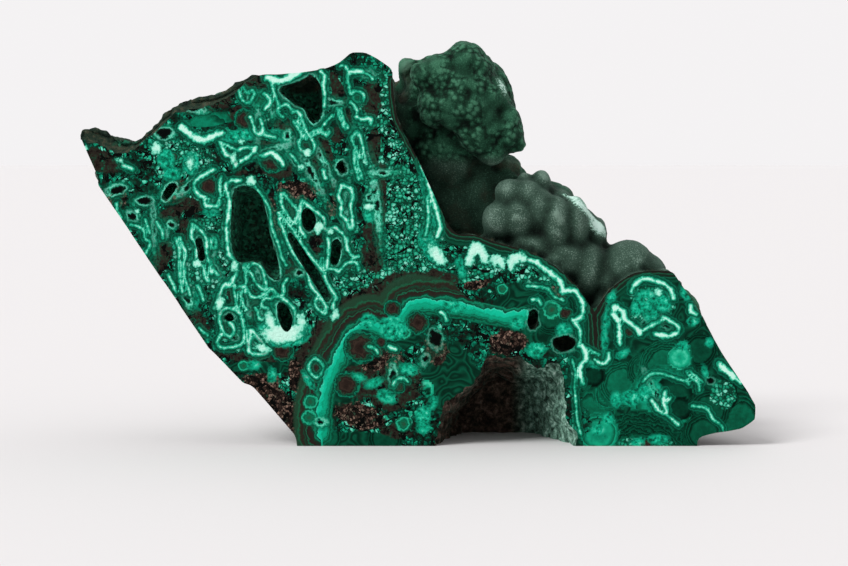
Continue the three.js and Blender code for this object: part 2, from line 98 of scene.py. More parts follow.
# Seams of pale malachite, each as half its width and the line it follows
SEAMS = [
    # left end
    (0.5, [(-78.2, 74.6), (-75.8, 73.6)]),
    (1.0, [(-62.6, 84.6), (-60, 82.4), (-57, 81.2), (-54.4, 82.2), (-52.4, 83)]),
    (0.3, [(-52.6, 80.6), (-49.4, 79.2), (-47.7, 78.6), (-46.3, 79.2), (-43.1, 79.2)]),
    (0.6, [(-52.2, 80), (-51.1, 77.4), (-49.2, 76.6), (-48.4, 74.4)]),
    (0.5, [(-43.1, 79.2), (-44.8, 77.1), (-47.1, 75.7)]),
    (0.45, [(-54.2, 73.4), (-58, 71.4), (-59.4, 69.4), (-58.5, 67.1), (-55.7, 65.6)]),
    (0.15, [(-52.4, 66.5), (-52.8, 69.4), (-52.2, 71.5)]),
    (0.4, [(-56.8, 65.6), (-56.2, 63.9), (-53.1, 63.9), (-52.9, 65.2)]),
    (0.25, [(-79.8, 64.6), (-80, 63), (-78.8, 60.8)]),
    (0.2, [(-76.3, 59), (-73.2, 57.9), (-72.6, 55.6)]),
    (0.2, [(-72.3, 55), (-71.2, 53.9), (-72.3, 51.3)]),
    (0.2, [(-72.5, 60.2), (-71.3, 56.6)]),
    (0.3, [(-69.4, 59.6), (-68, 57), (-67.8, 55.4)]),
    (0.2, [(-58.4, 31.5), (-56.1, 29.5)]),
    (0.2, [(-66.4, 45.6), (-64.4, 41)]),
    # lines beside the left slit
    (0.25, [(-64.4, 55.3), (-63.5, 52.6), (-63.6, 47), (-62.7, 41)]),
    (0.3, [(-63.2, 55.3), (-62.4, 52.8), (-61.7, 51), (-62.4, 47.6), (-61.8, 44), (-60.7, 40.4)]),
    (0.35, [(-59.9, 59.1), (-60.2, 55.9), (-59, 53.3), (-59, 50.2), (-59.6, 48.5), (-57.3, 47.9),
        (-56.6, 45), (-55.9, 44)]),
    (0.3, [(-59.6, 59), (-57.6, 57.1), (-56.2, 54.6), (-56.3, 51.6), (-55.6, 49), (-55, 46)]),
    (0.15, [(-54.4, 55.3), (-55, 53.9), (-54.6, 52.7), (-53.7, 52.8), (-53.7, 54.5), (-54.4, 55.3)]),
    (0.15, [(-55.3, 49.9), (-54.9, 48.2), (-53.6, 45.9), (-53, 45.6)]),
    (0.3, [(-58.7, 42.7), (-57.9, 41), (-57.3, 39)]),
    # round the largest vug
    (0.45, [(-47.2, 70.5), (-50, 70.4), (-51.2, 69), (-50.1, 65.5), (-50.4, 62), (-51, 58), (-50.8, 54),
        (-50.2, 50.7), (-48.9, 49.4), (-48.2, 47.2), (-49.4, 44), (-50.3, 42.8), (-51.8, 42.9), (-53, 39.6),
        (-54.1, 36.6)]),
    (0.2, [(-43.4, 69), (-41.2, 66), (-39.5, 62.8), (-39.1, 58.6), (-38.3, 56.2), (-36.9, 52.5),
        (-36.3, 49.9), (-35.2, 48.2)]),
    (0.25, [(-49.2, 42.7), (-48.7, 39.6), (-48.2, 36.9), (-46.9, 35)]),
    (0.3, [(-49, 36.9), (-47.4, 35), (-46.6, 32.4), (-46.4, 29.5), (-46.9, 27.4), (-49.8, 26.3),
        (-52.6, 26.3), (-53.6, 27.8), (-52.8, 29.4)]),
    (0.3, [(-50.3, 33), (-49.3, 31.8), (-49.1, 30.4), (-49.9, 29.3), (-51.5, 30), (-52.9, 33),
        (-52.6, 35.8), (-51, 36.8), (-49, 36.2)]),
    (0.25, [(-46.1, 41), (-45.9, 44.2), (-46.2, 48), (-44.7, 47.8), (-43.8, 48.7), (-42.1, 47.9),
        (-41.2, 45.9), (-40.6, 41.6), (-42.9, 43), (-44.3, 45.6), (-45.8, 47)]),
    (0.2, [(-47.8, 42.4), (-46.4, 42.4), (-44.9, 40.7), (-44.7, 39.8), (-42.9, 39.6), (-40.6, 40.7),
        (-39.2, 41.9), (-38.3, 41.3), (-38, 40.1), (-38.9, 39.3), (-40.9, 39.3), (-41.8, 38.1), (-41.2, 37),
        (-40.1, 36.7), (-40.3, 35), (-41.8, 33.5), (-42.6, 34.4), (-42.8, 36.1), (-43.5, 37)]),
    (0.2, [(-47.4, 41), (-46.9, 38.6), (-45.7, 36.2)]),
    (0.3, [(-34.9, 44.7), (-35.9, 43), (-35.9, 40.7)]),
    (0.45, [(-44.7, 30.9), (-44.9, 25), (-40.4, 24.9), (-41.4, 27.4), (-44.4, 30.9)]),
    # round the pentagonal vug
    (0.3, [(-38.3, 40), (-36.2, 39.4), (-33, 36), (-33.2, 30)]),
    # the long slit and the leaf above it
    (0.3, [(-37.1, 62), (-35.9, 60.8), (-33.2, 57.2), (-30.7, 53.2), (-28.3, 49.9), (-25.6, 46.6),
        (-24.6, 44.1), (-23.1, 41.4), (-22, 39.6), (-22.8, 37.8), (-22.4, 35.6)]),
    (0.3, [(-37, 60.4), (-35, 55), (-33, 50.8), (-31, 48.2), (-29.5, 47.2), (-29.2, 44.7), (-28.2, 42),
        (-26.8, 40.5), (-24.8, 37.4), (-24.8, 35.3), (-26.5, 36.2), (-27.6, 38), (-26.8, 40)]),
    (0.3, [(-36.4, 67), (-36.4, 64.2), (-34.8, 61.4), (-33.1, 59.2), (-32.3, 60.8), (-32.2, 62.5),
        (-33.9, 64.7), (-35.8, 67)]),
    (0.3, [(-31.2, 65.1), (-31.4, 61.8), (-31.5, 57.8), (-30.2, 55.7)]),
    (0.35, [(-31, 65.3), (-28.3, 63), (-26.2, 61.6), (-24.9, 59.9), (-25.4, 58.2), (-24.4, 57.6),
        (-22.6, 58.1), (-20.7, 56.9), (-19.6, 55.5)]),
    (0.5, [(-19.3, 55.2), (-19.2, 53.2), (-18.7, 51.8)]),
    (0.25, [(-18.7, 51.8), (-17.4, 50.2), (-16.1, 50.5)]),
    (0.4, [(-24.2, 55.1), (-23.9, 54.5), (-24, 51.7), (-24.2, 49.6), (-24.4, 47.2)]),
    (0.25, [(-24.3, 47.2), (-22.5, 47), (-21.3, 46.4), (-19.8, 48.1), (-18.3, 49), (-16.7, 48.7),
        (-16, 47)]),
    (0.2, [(-25.9, 50), (-26.2, 49), (-25.7, 48)]),
    # upper middle
    (0.4, [(-20.5, 69.3), (-21.3, 66.5), (-20.5, 64.2), (-20.7, 61.6), (-19.1, 59.9), (-18.3, 57.7),
        (-17.6, 58.4), (-17.8, 61.4), (-18.1, 63.7), (-17.6, 66), (-18.1, 68.2), (-20.2, 69.3)]),
    (0.35, [(-17.9, 81.7), (-16.3, 83.2), (-15.3, 81.2), (-14.7, 78.6), (-14.1, 75.7)]),
    (0.15, [(-17.9, 81.7), (-17, 79.4), (-15.6, 76.4)]),
    (0.2, [(-17.2, 78), (-17.1, 75.1), (-15.9, 70.8)]),
    (0.15, [(-16.4, 77), (-16, 74.1), (-15, 71)]),
    (0.5, [(-16.6, 87.4), (-14.8, 86.6), (-12.8, 86.8), (-12.9, 85.4)]),
    (0.6, [(-18.4, 99.2), (-15.4, 99.2)]),
    (0.25, [(-20.7, 100.7), (-19.6, 100.7), (-18.7, 99.2), (-18.7, 96.6), (-18, 93.4)]),
    (0.2, [(-15, 98.9), (-13.4, 98.4), (-12.2, 97.2)]),
    (0.35, [(-18, 91.2), (-17, 90.2), (-16.4, 89)]),
    (0.15, [(-17.5, 93.6), (-16.1, 94.2), (-14.6, 93.2), (-14.6, 91.4)]),
    (0.2, [(-21.6, 89.5), (-20.7, 86.3), (-19.4, 84)]),
    (0.15, [(-20.7, 89.5), (-20.2, 87.2), (-18.8, 84.4)]),
    (0.4, [(-26.2, 99.4), (-24.9, 98.1), (-25.2, 95.5), (-24.8, 92.6), (-25, 90)]),
    (0.2, [(-28.5, 83.3), (-26.2, 84), (-24.7, 85.8), (-22.7, 87.8)]),
    (0.25, [(-27.9, 82.4), (-25.9, 83.4), (-24.7, 82.5), (-23.6, 83.5)]),
    (0.9, [(-40, 97.7), (-37.4, 96.9), (-35.1, 97.3), (-32.2, 98.7), (-30.2, 99.5)]),
    (0.2, [(-38.9, 95.5), (-37.9, 92.9), (-37, 90.1), (-37.4, 88.9), (-36, 87.4)]),
    (0.2, [(-36.6, 90), (-35.2, 90.6), (-33.8, 89.6), (-33.4, 88.4)]),
    (0.4, [(-33.2, 88.9), (-31.8, 88.6), (-31.1, 87.2)]),
    (0.25, [(-31.3, 87.5), (-30.4, 85.2), (-29.8, 83.5), (-27.9, 80.6), (-27.7, 78.6), (-28.8, 77.4),
        (-29.9, 77.4), (-31.6, 79.2), (-31.8, 80.6), (-31.1, 82.6), (-33, 86)]),
    (0.15, [(-32.2, 86.3), (-30.7, 83.3), (-29.9, 81.6)]),
    (0.4, [(-40.8, 93.5), (-39.4, 92.1), (-39.5, 90.6), (-40.6, 89.4)]),
    (0.15, [(-47.7, 94.9), (-46.8, 92), (-45, 91), (-43.6, 92.9), (-43.9, 94.3), (-45.2, 93.5),
        (-46.6, 95.3)]),
    (0.3, [(-44.6, 87.3), (-43.8, 85.2), (-43.2, 83.2), (-42, 82.6)]),
    (0.35, [(-41.9, 86.9), (-41.3, 84.9), (-41.5, 82.8)]),
    (0.5, [(-40.5, 82.5), (-38.2, 82)]),
    (0.7, [(-41.5, 77.2), (-39.1, 77.8), (-37.2, 76.4), (-36, 75)]),
    (0.2, [(-34, 77.5), (-33, 76.4), (-31.6, 74.6), (-31, 73.6)]),
    (0.45, [(-25.4, 73.3), (-24.7, 71.3)]),
    # beside the ridge and the scalloped crust
    (0.75, [(0.6, 75.6), (2.4, 70), (3.7, 65.2)]),
    (0.55, [(3.7, 65.2), (5, 61.4), (5.6, 58), (4.7, 55.8)]),
    (0.25, [(2.2, 66), (2.4, 60), (1.6, 56)]),
    (0.6, [(-1.4, 81), (-3, 84.6), (-3.4, 88)]),
    (0.25, [(-4.6, 91), (-5.2, 95)]),
    (0.65, [(27.3, 51), (28.5, 49.7), (30.7, 49), (32.5, 47.9), (35.2, 45.7), (37, 44.4), (37.9, 42.4),
        (38.1, 41.2), (39.8, 41.5), (41.3, 41.2), (42.7, 39.6), (43.5, 37.4), (43.2, 34.8), (41.6, 33.6),
        (40.7, 33.6)]),
    (0.35, [(40.8, 33.2), (42.4, 31.4), (42.8, 29), (42.3, 26.6)]),
    (0.15, [(28.5, 42.7), (33.7, 42.1), (35.5, 40), (38.3, 38.7)]),
    (0.3, [(30, 38.9), (31.4, 39.2), (32.2, 37.8)]),
    (0.35, [(5.8, 35.7), (7, 34.6), (7.2, 33.4)]),
    (0.15, [(-27.5, 23.4), (-25.4, 21), (-27.2, 18.2), (-29.4, 20.9), (-27.5, 23.4)]),
    (0.35, [(-13.3, 26.4), (-12, 26.2), (-11, 25)]),
    (0.45, [(-7.9, 26.4), (-6.1, 25.8)]),
    (0.25, [(-7, 16.3), (-6.2, 17.6), (-4.2, 18.2), (-3.1, 17.2)]),
    # right end
    (0.55, [(56.2, 41.2), (57.2, 43.2), (59.8, 44.6), (62.4, 43.9), (64.4, 43.4), (66.6, 41.8),
        (67.4, 39.4)]),
    (0.65, [(51.8, 37.3), (51.6, 34.9), (52.7, 33.3), (53.1, 31), (53.1, 28.4), (53.3, 27)]),
    (0.75, [(52.1, 37.3), (54, 35.8), (54.7, 33.6), (56.4, 32.4), (57.8, 31.3), (58.7, 30.1)]),
    (0.45, [(59.3, 30.8), (61.6, 32.1), (64.1, 33.2)]),
    (0.4, [(64.7, 34.3), (67.6, 32.7), (69, 31.3), (68.3, 30)]),
    (0.6, [(68, 29.8), (65.9, 29.4), (62.7, 29.8)]),
    (0.6, [(43.2, 26.8), (44.3, 24.9), (44.4, 23.1), (43, 21.8), (42.7, 19.8), (43.3, 16.9)]),
    (0.2, [(43.5, 26.7), (45.5, 25.5), (47.8, 24.4)]),
    (0.45, [(46.6, 23.1), (48.6, 21.9), (50.2, 23), (50.4, 24.7)]),
    (0.2, [(59.5, 17.3), (61, 18.9), (63, 19.5), (65.9, 18.9), (68.7, 17.8), (70.7, 17.4), (71.6, 16.6)]),
    (0.15, [(71, 19.7), (72.3, 18.1), (74, 17), (74.5, 14.9)]),
    (0.15, [(71.8, 20), (73.4, 18.6), (75.2, 17.2)]),
    (0.6, [(65.3, 14.3), (64.9, 11.8), (65.7, 9.4)]),
    (0.3, [(66.8, 12.9), (65.4, 11.4)]),
    (0.4, [(61.8, 12.3), (63.6, 9.6), (65.9, 8.2), (68.9, 5.8)]),
    (0.25, [(72.6, 10.7), (76.1, 10.1), (77.7, 8.1)]),
    (0.1, [(77.7, 7.5), (80.3, 5.6), (80.9, 3.7)]),
    (0.9, [(79.8, 21.8), (81.6, 20), (83.4, 18.6)]),
    (0.35, [(83.4, 18.6), (85.4, 16.8)]),
    (0.45, [(72, 37.4), (72, 35.8), (73.4, 35)]),
    (0.1, [(40.6, 23), (41.5, 19.8), (41.3, 15.5), (41.8, 9.8), (42, 6.9), (43, 3)]),
]
# Pale patches as (x, z, half width, half height), with a turn in degrees where they slant
PALE_PATCHES = [
    (4.8, 50.7, 1.5, 3.4, -36), (-69.4, 79.1, 1.2, 1.5), (-58.7, 48.7, 0.9, 0.9), (-52.8, 38, 1.0, 1.8, 20),
    (-48.8, 48, 0.8, 1.3), (-36.4, 30, 5.4, 2.5, -4), (-39.4, 33, 1.2, 2.4, -12), (-31.2, 33, 1.2, 2.2, -8),
    (-41.9, 26.2, 2.0, 0.9, 20), (-22.4, 34.8, 0.9, 1.4, 30), (-26.6, 58.3, 1.1, 1.6),
    (-23.7, 56.9, 0.9, 0.6), (-44.4, 70.5, 1.1, 1.1), (-29.5, 77.9, 1.0, 1.0), (-31.2, 74.2, 0.7, 0.8, 40),
    (-49.1, 76.6, 0.9, 1.2), (-46.8, 80.9, 0.7, 0.7), (-13.2, 63.6, 1.1, 0.9), (-60.4, 75.4, 0.9, 1.7),
    (63.3, 41, 1.0, 0.9), (-79, 75.8, 0.8, 0.4, 10), (-88, 79.2, 0.5, 0.5), (-74.5, 62.4, 0.5, 0.4),
    (-14.2, 75.2, 0.5, 0.7),
]
# The scallops of pale malachite under the crust, as closed outlines
SCALLOPS = [
    [(14.8, 54.3), (17.1, 53), (18.2, 50.3), (17.8, 48.4), (16.6, 49), (15.5, 50.8), (14.6, 49.9),
     (13.7, 48.1), (12.4, 48.4), (12.4, 50.3), (13.4, 53.2)],
    [(20.3, 50.8), (22.1, 50.2), (22.9, 48.2), (22.6, 46.9), (21.5, 47.7), (20.7, 48.8), (20, 47.7),
     (19, 49), (19.1, 50.2)],
    [(23.4, 48.6), (23.7, 50.4), (25.4, 51.4), (27.3, 51.3), (28.4, 50), (27.6, 48.9), (26, 48.9),
     (24.9, 47.1), (24, 47)],
]
# Bright teal patches, as pale patches
TEAL_PATCHES = [
    (-7, 31.4, 3.6, 3.0, 10), (-13.4, 33.4, 1.8, 1.7), (10.7, 48.9, 0.9, 0.9), (11.5, 46.5, 0.9, 1.3),
    (38.5, 30.8, 1.9, 1.8), (1.1, 8.2, 1.8, 2.2), (1.1, 4.7, 1.5, 1.3), (-8.6, 13.2, 2.4, 1.6, 20),
    (-15.9, 18.3, 1.4, 0.8, 20), (-12, 16.8, 2, 1, -20), (-3, 20.4, 2.4, 1.4, 10),
    (3.6, 11.4, 0.9, 1.6, 20), (26.2, 32.6, 1.8, 1.3), (8.8, 37, 2.6, 1.4), (-66.9, 76.3, 2.0, 2.3),
    (-65.4, 72.2, 2.1, 1.6), (-60.2, 75.2, 1.9, 2.8), (-55, 62.4, 1.8, 1.2), (-29.4, 17.6, 0.8, 2.2, -30),
    (-13, 61.4, 1.4, 1.8), (51, 39.4, 0.9, 1.6, 20), (50, 34.4, 0.8, 3.2, 12), (49.2, 28.4, 0.6, 3.4),
    (60.6, 14.2, 2.2, 2.6, 20), (52.4, 12.4, 1.3, 1.8), (56.2, 12.8, 2.2, 1.9, 10), (50.2, 7.2, 1.2, 1.4),
    (77, 27.6, 0.9, 1.0), (76, 19.4, 0.6, 1.4, -20), (70.6, 40.4, 0.9, 1.6, -30), (72.6, 33.4, 1.4, 1.2),
    (31, 25.6, 2.2, 1.8), (46, 22, 1.6, 0.7, 30), (-39, 19, 0.9, 1.6), (-43.8, 21.6, 1.5, 1.1),
    (-59, 39, 0.7, 1.6, 10), (63.6, 14.6, 1.0, 2.4, -30), (60.4, 40.4, 2.4, 0.9), (58, 37, 1.5, 2.4, 20),
    (64.8, 38.4, 1.8, 2.4, -10), (61.4, 36, 2, 3), (-36, 30.4, 7, 3.8), (3, 52.8, 2, 4.6, -30),
    (2.9, 66, 1.5, 9, -14), (-48, 82.2, 5, 1.4, -6), (-37, 82.4, 2.6, 1.3, 20), (58, 1, 1.6, 1),
    (63.6, 1.8, 2.2, 1.1), (47.6, 4.4, 1.8, 1.2), (54, 24.6, 1.6, 0.8, -30), (70, 26.8, 1.4, 1),
]
# Small pits painted on the face, black inside as painted shade, with pale rims, as pale patches
PITS = [
    (-67.2, 83, 1.9, 1.2), (-80.2, 68, 2.0, 1.0, -20), (-72.6, 65.2, 1.6, 0.8), (-75.8, 61, 1.2, 0.9, 20),
    (-70.2, 58.2, 0.3, 2.0), (-65.7, 58.8, 0.7, 0.7), (-67.3, 57, 0.3, 0.7, -20), (-55.9, 65.2, 0.6, 0.5),
    (-54.7, 51.6, 0.4, 0.5), (-54.2, 47.6, 0.3, 1.2, -25), (-61.2, 38.9, 0.7, 1.4, -20),
    (-46.3, 38.8, 0.5, 2.2, -14), (-41.4, 35.8, 0.7, 0.7), (-42.4, 45.3, 0.3, 1.1, -20),
    (-43.3, 27.9, 0.8, 1.1, 20), (-26.3, 38, 0.4, 0.9, -25), (-31.5, 46.1, 0.8, 0.5),
    (-45.9, 92.6, 0.7, 0.8, 30), (-42.6, 85.2, 0.35, 1.9), (-59.6, 89.6, 1.9, 0.7, 12),
    (-38.5, 90.2, 0.3, 1.1), (-33, 75.8, 0.3, 1.3, -35), (-29, 73.6, 0.4, 3.2, -27),
    (-38.4, 78.8, 1.6, 0.3, -20), (-23.3, 91, 1.6, 0.5), (-13.2, 65.8, 0.5, 0.6), (-9.8, 72.4, 1.4, 0.3),
    (-11.2, 63.8, 0.5, 3.8, -6), (-6.8, 18.8, 0.8, 2.0), (-26, 6.2, 1.1, 0.7), (4.4, 28.6, 1.6, 2.4, -10),
    (1.6, 23, 0.7, 1.2, 10), (-25.2, 75.4, 0.25, 2.4, -27), (-19.2, 62.8, 0.35, 3.0, 4),
    (-16.4, 80, 0.5, 2, -5), (59.7, 32.4, 0.5, 0.8), (65.8, 32.2, 0.9, 0.8), (62.2, 15.2, 0.35, 2.6, -27),
    (72.8, 36.6, 0.4, 0.7, -20), (-13.6, 98.6, 0.9, 0.5), (-61.2, 68.8, 1.4, 0.4, -45),
    (-34.8, 82.3, 0.5, 0.8, 20), (77.4, 17.6, 0.8, 0.7),
]
# Grape-like growths cut across, seen as eyes: (x, z, radius, kind), where the kind is the tone at their core
BROWN, GREEN = 0, 1
EYES = [
    (-15.5, 26.4, 4.6, BROWN), (-0.3, 32.8, 3.1, BROWN), (-7, 36.6, 2.4, BROWN), (-10, 27.7, 1.6, BROWN),
    (-27.5, 20.9, 2.0, BROWN), (-5.4, 15.8, 1.9, BROWN), (-36.3, 25.6, 3.2, BROWN),
    (-19.2, 16.4, 3.6, BROWN), (38.9, 35.2, 1.9, BROWN), (65.3, 32.6, 1.5, BROWN), (55.7, 30.4, 1.5, BROWN),
    (-55.6, 69, 3.0, BROWN), (-64.9, 76.8, 1.4, BROWN), (-45.9, 86.6, 3.0, BROWN),
    (-38.8, 76.2, 3.8, BROWN), (60.6, 0.6, 1.6, BROWN), (-28.8, 11.8, 2.1, GREEN), (-29.2, 7.6, 2.2, GREEN),
    (-3.7, 30.1, 1.7, GREEN), (22, 41.8, 1.6, GREEN), (35.2, 36.4, 2.7, GREEN), (-4.2, 5.9, 2.1, GREEN),
    (-46.6, 21.4, 1.6, GREEN), (-16.1, 92.6, 1.9, GREEN), (-42, 92, 2.6, GREEN),
]
# Overlapping domes cut across, from the hindmost to the foremost: (x, z, radius, rings at the rim, lightness)
FANS = [
    (-57, 79, 13, 3, 0.5), (36, 36, 7, 4, 0.25), (84.8, 6.6, 7.4, 3, 0.34), (79.6, 14, 5.4, 1, 0.14),
    (46.4, 17, 5, 2, 0.3), (47, 9.6, 6, 2, 0.42), (50.4, 14, 4.4, 2, 0.48), (54.2, 16.4, 6.6, 4, 0.42),
    (60, 20.4, 5, 4, 0.34), (74.4, 25.4, 5, 3, 0.2), (65.4, 21, 7.6, 5, 0.38), (69.2, 23.6, 3.2, 1, 0.8),
    (64.6, 12.6, 9, 2, 0.58), (67.4, 12.4, 6, 1, 0.22), (77, 9.6, 5.6, 3, 0.26), (58.4, -7.6, 17, 7, 0.3),
    (47.8, 3.4, 5.4, 2, 0.66), (69.4, 10, 3.2, 1, 0.1), (75.6, 3.4, 5.4, 3, 0.28), (46.3, 18.7, 3, 1, 0.06),
    (1.7, 15.4, 2.6, 1, 0.85), (2.3, 14.8, 0.9, 1, 0.1), (-0.6, 24, 3.4, 2, 0.2), (-24, 2.4, 3.6, 2, 0.3),
    (-9, 2, 5, 3, 0.2),
]
# Zones of the face as (x, z, half width, half height), with a turn in degrees where they slant
BROWN_ZONES = [
    (-20.4, 91.4, 1.7, 8.4, -18), (-25.2, 78, 2.3, 5.4, -18), (-27, 74.2, 1.2, 3.6, -12),
    (-21.6, 82.6, 1.9, 2.2), (-34.3, 63, 1.3, 3.8, -26), (-18.6, 65, 1.3, 4.6, 2), (-55.2, 69.4, 2.6, 3.4),
    (-10.4, 63, 1.6, 11, 4), (-12.5, 50, 3, 4, -20), (-3, 43, 10, 3.4, -6), (-17, 37.6, 8, 3.2, -32),
    (-28.4, 25.4, 3.6, 9, 26), (-43, 23.7, 10, 1.2, 2), (-38, 73.4, 5, 2.2, 8), (-66.8, 60.6, 6, 2, -30),
    (-60.4, 64, 3.6, 2.2), (-49.8, 41.2, 1.5, 2.2), (-44, 38, 1.6, 4), (-59.6, 32.4, 3, 5, -33),
    (-84, 76, 5, 3, 20), (-47.6, 88.2, 2.6, 1.8, -20), (-33.4, 47.6, 2, 3.4, 20), (-27.4, 56, 2.6, 3.2, 30),
    (-56, 91, 8, 2.2, -12), (-44, 95, 4, 3, -30), (-19, 50.6, 2.4, 3.4), (-6, 18, 7, 5), (5, 44.4, 5, 2.4),
    (-68, 50, 2, 6, 20), (-36, 84.6, 2.6, 3.4, 20), (-40, 80, 3.4, 1), (-12.4, 92, 2.4, 5),
    (-11.8, 80, 1.6, 5), (-46, 72, 2.4, 1.2), (-32.6, 90, 1.4, 2.4), (-23, 71, 1.4, 3, -20),
    (-62, 57, 1.4, 3.4), (-38.6, 46.6, 1.2, 3.4, 10), (-28, 51, 1.6, 2.6, 30), (-22, 52.6, 1.6, 2),
    (-13.4, 57, 1.4, 3), (-16, 17.4, 6, 4.4), (-8, 12, 5, 2.6), (-3.4, 13.6, 3.2, 2), (-21, 27, 2, 4, 30),
    (-6, 4, 4, 2), (-48.3, 40, 1.3, 2.4, 10), (-51, 31, 2, 3, 20), (-43.4, 45, 1.3, 2, 20),
    (-16.6, 79, 0.8, 3.2, 14),
]
ROCK_ZONES = [
    (-41.8, 16.6, 5.4, 2.8), (-38, 9, 7.5, 5.5, 40), (-33, 18.4, 1.8, 4.6), (-11, 23.2, 5.6, 2.8, -6),
    (-15.5, 8, 6.8, 3.4, 10), (23.2, 27.6, 5.2, 3.2), (15, 42.9, 3.8, 1.2, -14), (36.6, 40.8, 2.4, 1.8, 30),
    (4.6, 25.4, 3.4, 3.6), (-64.4, 67.6, 1.8, 4, 40), (-32, 67.6, 5.4, 3, 12), (-38.2, 61, 1.2, 5, -16),
    (-5.6, 21, 3, 2), (-80, 66, 3, 2.6), (-29.6, 60, 1.6, 3, 30), (-23, 64, 1.6, 3),
]
GRAIN_ZONES = [
    (-6, 75, 7.6, 24, -12), (-1, 54, 8.4, 9), (-15, 44.4, 8, 4.6, -22), (-20, 50, 5, 6),
    (13, 46.4, 9, 2.6, -8), (31, 44.8, 8, 2.6, 28), (61.6, 37.8, 5.6, 5.6), (-30, 31, 4.4, 6.4),
    (-25, 93, 2.2, 6), (-41, 90, 2.6, 4), (-57, 50, 8, 10), (-63, 76, 8, 5), (-51.8, 58, 2, 14),
    (-12.6, 63, 2.4, 8), (61, 0.8, 7, 1.6), (80.9, 13.6, 3.4, 3.6),
]
SMOOTH_ZONES = [
    (68, 22, 25.4, 24, 20), (48, 30, 6, 13), (9, 17, 7, 11, -24), (-29.6, 9, 2.6, 7),
    (-54.6, 86.6, 6.4, 1.6, -8), (-42, 21, 8.6, 1.5), (-18, 1.4, 13, 2.2), (31, 36, 10, 8),
    (-3, 38, 14, 3.4), (-18, 28, 6, 8, 30), (-8, 30, 8, 4), (-20, 16, 5, 6), (58, 46, 12, 5, 20),
    (62, 0, 20, 6),
]
CROWN_DEPTH = 4  # mm behind the face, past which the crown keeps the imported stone's shape
CROWN_STEP = 0.2  # mm, how far behind the face the broken slope begins
CROWN_SLOPE = 0.8  # how far it falls back for each mm above the border
# The ground that the natural crust covers, above its sawn edge
CRUST_REGION = CRUST_EDGE + [(90, 46), (90, 120), (-8, 120)]
# The notch below the crease, where the edges of two growths meet
NOTCH = [(46.5, 35.2), (47, 24)]
# The first saw cut, down the left side to the foot
SAWN_LINE = [(-32, 2.5), (-46, 16.5), (-55, 26), (-84.2, 69.5)]
# The part of the face that has vugs
VUG_GROUND = [
    (-32, 2.5), (-55, 26), (-84, 70), (-84, 79), (-70, 84), (-50, 92), (-20, 99), (-7, 97), (-1, 77.5),
    (9, 57), (30, 51), (46, 35), (10, 30), (0, 3), (-32, 2.5),
]
# Where crust has broken off pale, seen from the front
BROKEN_LINE = [(39, 68), (45, 62.5), (51, 55.5)]
BROKEN_PATCHES = [(48.4, 58, 2.6, 1.5, 40), (22.6, 96, 0.6, 2.2, -25), (82, 22, 2, 3, -30)]
# The hollow at the foot, as a zone, and how far back its walls go
CAVE = (23, 8, 22, 19)
CAVE_DEPTHS = (36, 30)
CAVE_WALL = (25, 32)  # x over which the pale wall on the right begins
LOBE_HEIGHTS = (74, 78)  # z over which the knobbed upper lobe begins
LOBE_SIDES = (-6, -1)  # x over which it begins
BACK_DEPTHS = (14, 30)  # depth over which the back's own growth begins
VUG_DEPTHS = (20, 16)  # depth over which the vugs' lining ends
# How the natural surfaces swell: the mask, the texture, its size and its height in mm
GROWTHS = [
    ("lobe", "VORONOI", 5.0, 1.2), ("lobe", "VORONOI", 1.9, 0.5), ("grapes", "VORONOI", 1.6, 0.12),
    ("back", "VORONOI", 9.0, 3.4), ("back", "VORONOI", 3.4, 0.9),
    ("crown", "CLOUDS", 7.0, 2.4), ("crown", "VORONOI", 2.6, 0.7),
    ("cave", "CLOUDS", 4.5, 4.0), ("cave", "VORONOI", 3.0, 1.6),
]
SMOOTHING = {"lobe": 7, "grapes": 4}  # rounds of smoothing before they swell
ARCH_MIDDLE = (4, 2)  # what the arch bends round
ARCH_REACH = ([-30, -2, 9, 13, 30], [7.5, 8.5, 6.5, 2.6, 2.2])  # how far out its bands go, by x
ARCH_REACH_IN = 3.4  # mm, how far in they go
ARCH_END = (31, 28)  # x over which it dies out
EDGE_REACH = ([58, 66], [3.4, 1.4])  # how far the sawn crust's bands go, by z
BROKEN_DEPTH = 20  # mm behind the face, past which no crust has broken off
FAR = 99.0  # mm, past the reach of any pattern
LOOP_GAP = 3.5  # mm between a seam's ends, below which it closes round brown stone


def only(obj):
    """Selects one object and nothing else."""
    bpy.ops.object.select_all(action="DESELECT")
    obj.select_set(True)
    bpy.context.view_layer.objects.active = obj


def select_in_edit(obj, kind, chosen):
    """Selects only the chosen vertices or faces, in edit mode."""
    only(obj)
    bpy.ops.object.mode_set(mode="EDIT")
    bpy.ops.mesh.select_mode(type="VERT" if kind == "vertices" else "FACE")
    bpy.ops.mesh.select_all(action="DESELECT")
    bpy.ops.object.mode_set(mode="OBJECT")
    getattr(obj.data, kind).foreach_set("select", chosen)
    bpy.ops.object.mode_set(mode="EDIT")


def finish_with(obj, kind, **settings):
    """Adds a modifier and applies it."""
    only(obj)
    modifier = obj.modifiers.new(kind.title(), kind)
    for key, value in settings.items():
        setattr(modifier, key, value)
    bpy.ops.object.modifier_apply(modifier=modifier.name)


def read(items, name, kind=np.float32, width=1):
    """A value for each item of a mesh, or a row of values where they have a width."""
    values = np.empty(len(items) * width, kind)
    items.foreach_get(name, values)
    return values.reshape(-1, width) if width > 1 else values


def vertex_places(obj):
    """The vertices' places in mm, one row each."""
    return read(obj.data.vertices, "co", width=3).astype(float) / MM


def weight_group(obj, name, weights):
    """A vertex group with a weight for each vertex, in even steps."""
    steps = 20
    group = obj.vertex_groups.new(name=name)
    levels = np.round(np.clip(weights, 0, 1) * steps).astype(int)
    for level in range(1, steps + 1):
        members = np.flatnonzero(levels == level).tolist()
        if members:
            group.add(members, level / steps, "REPLACE")


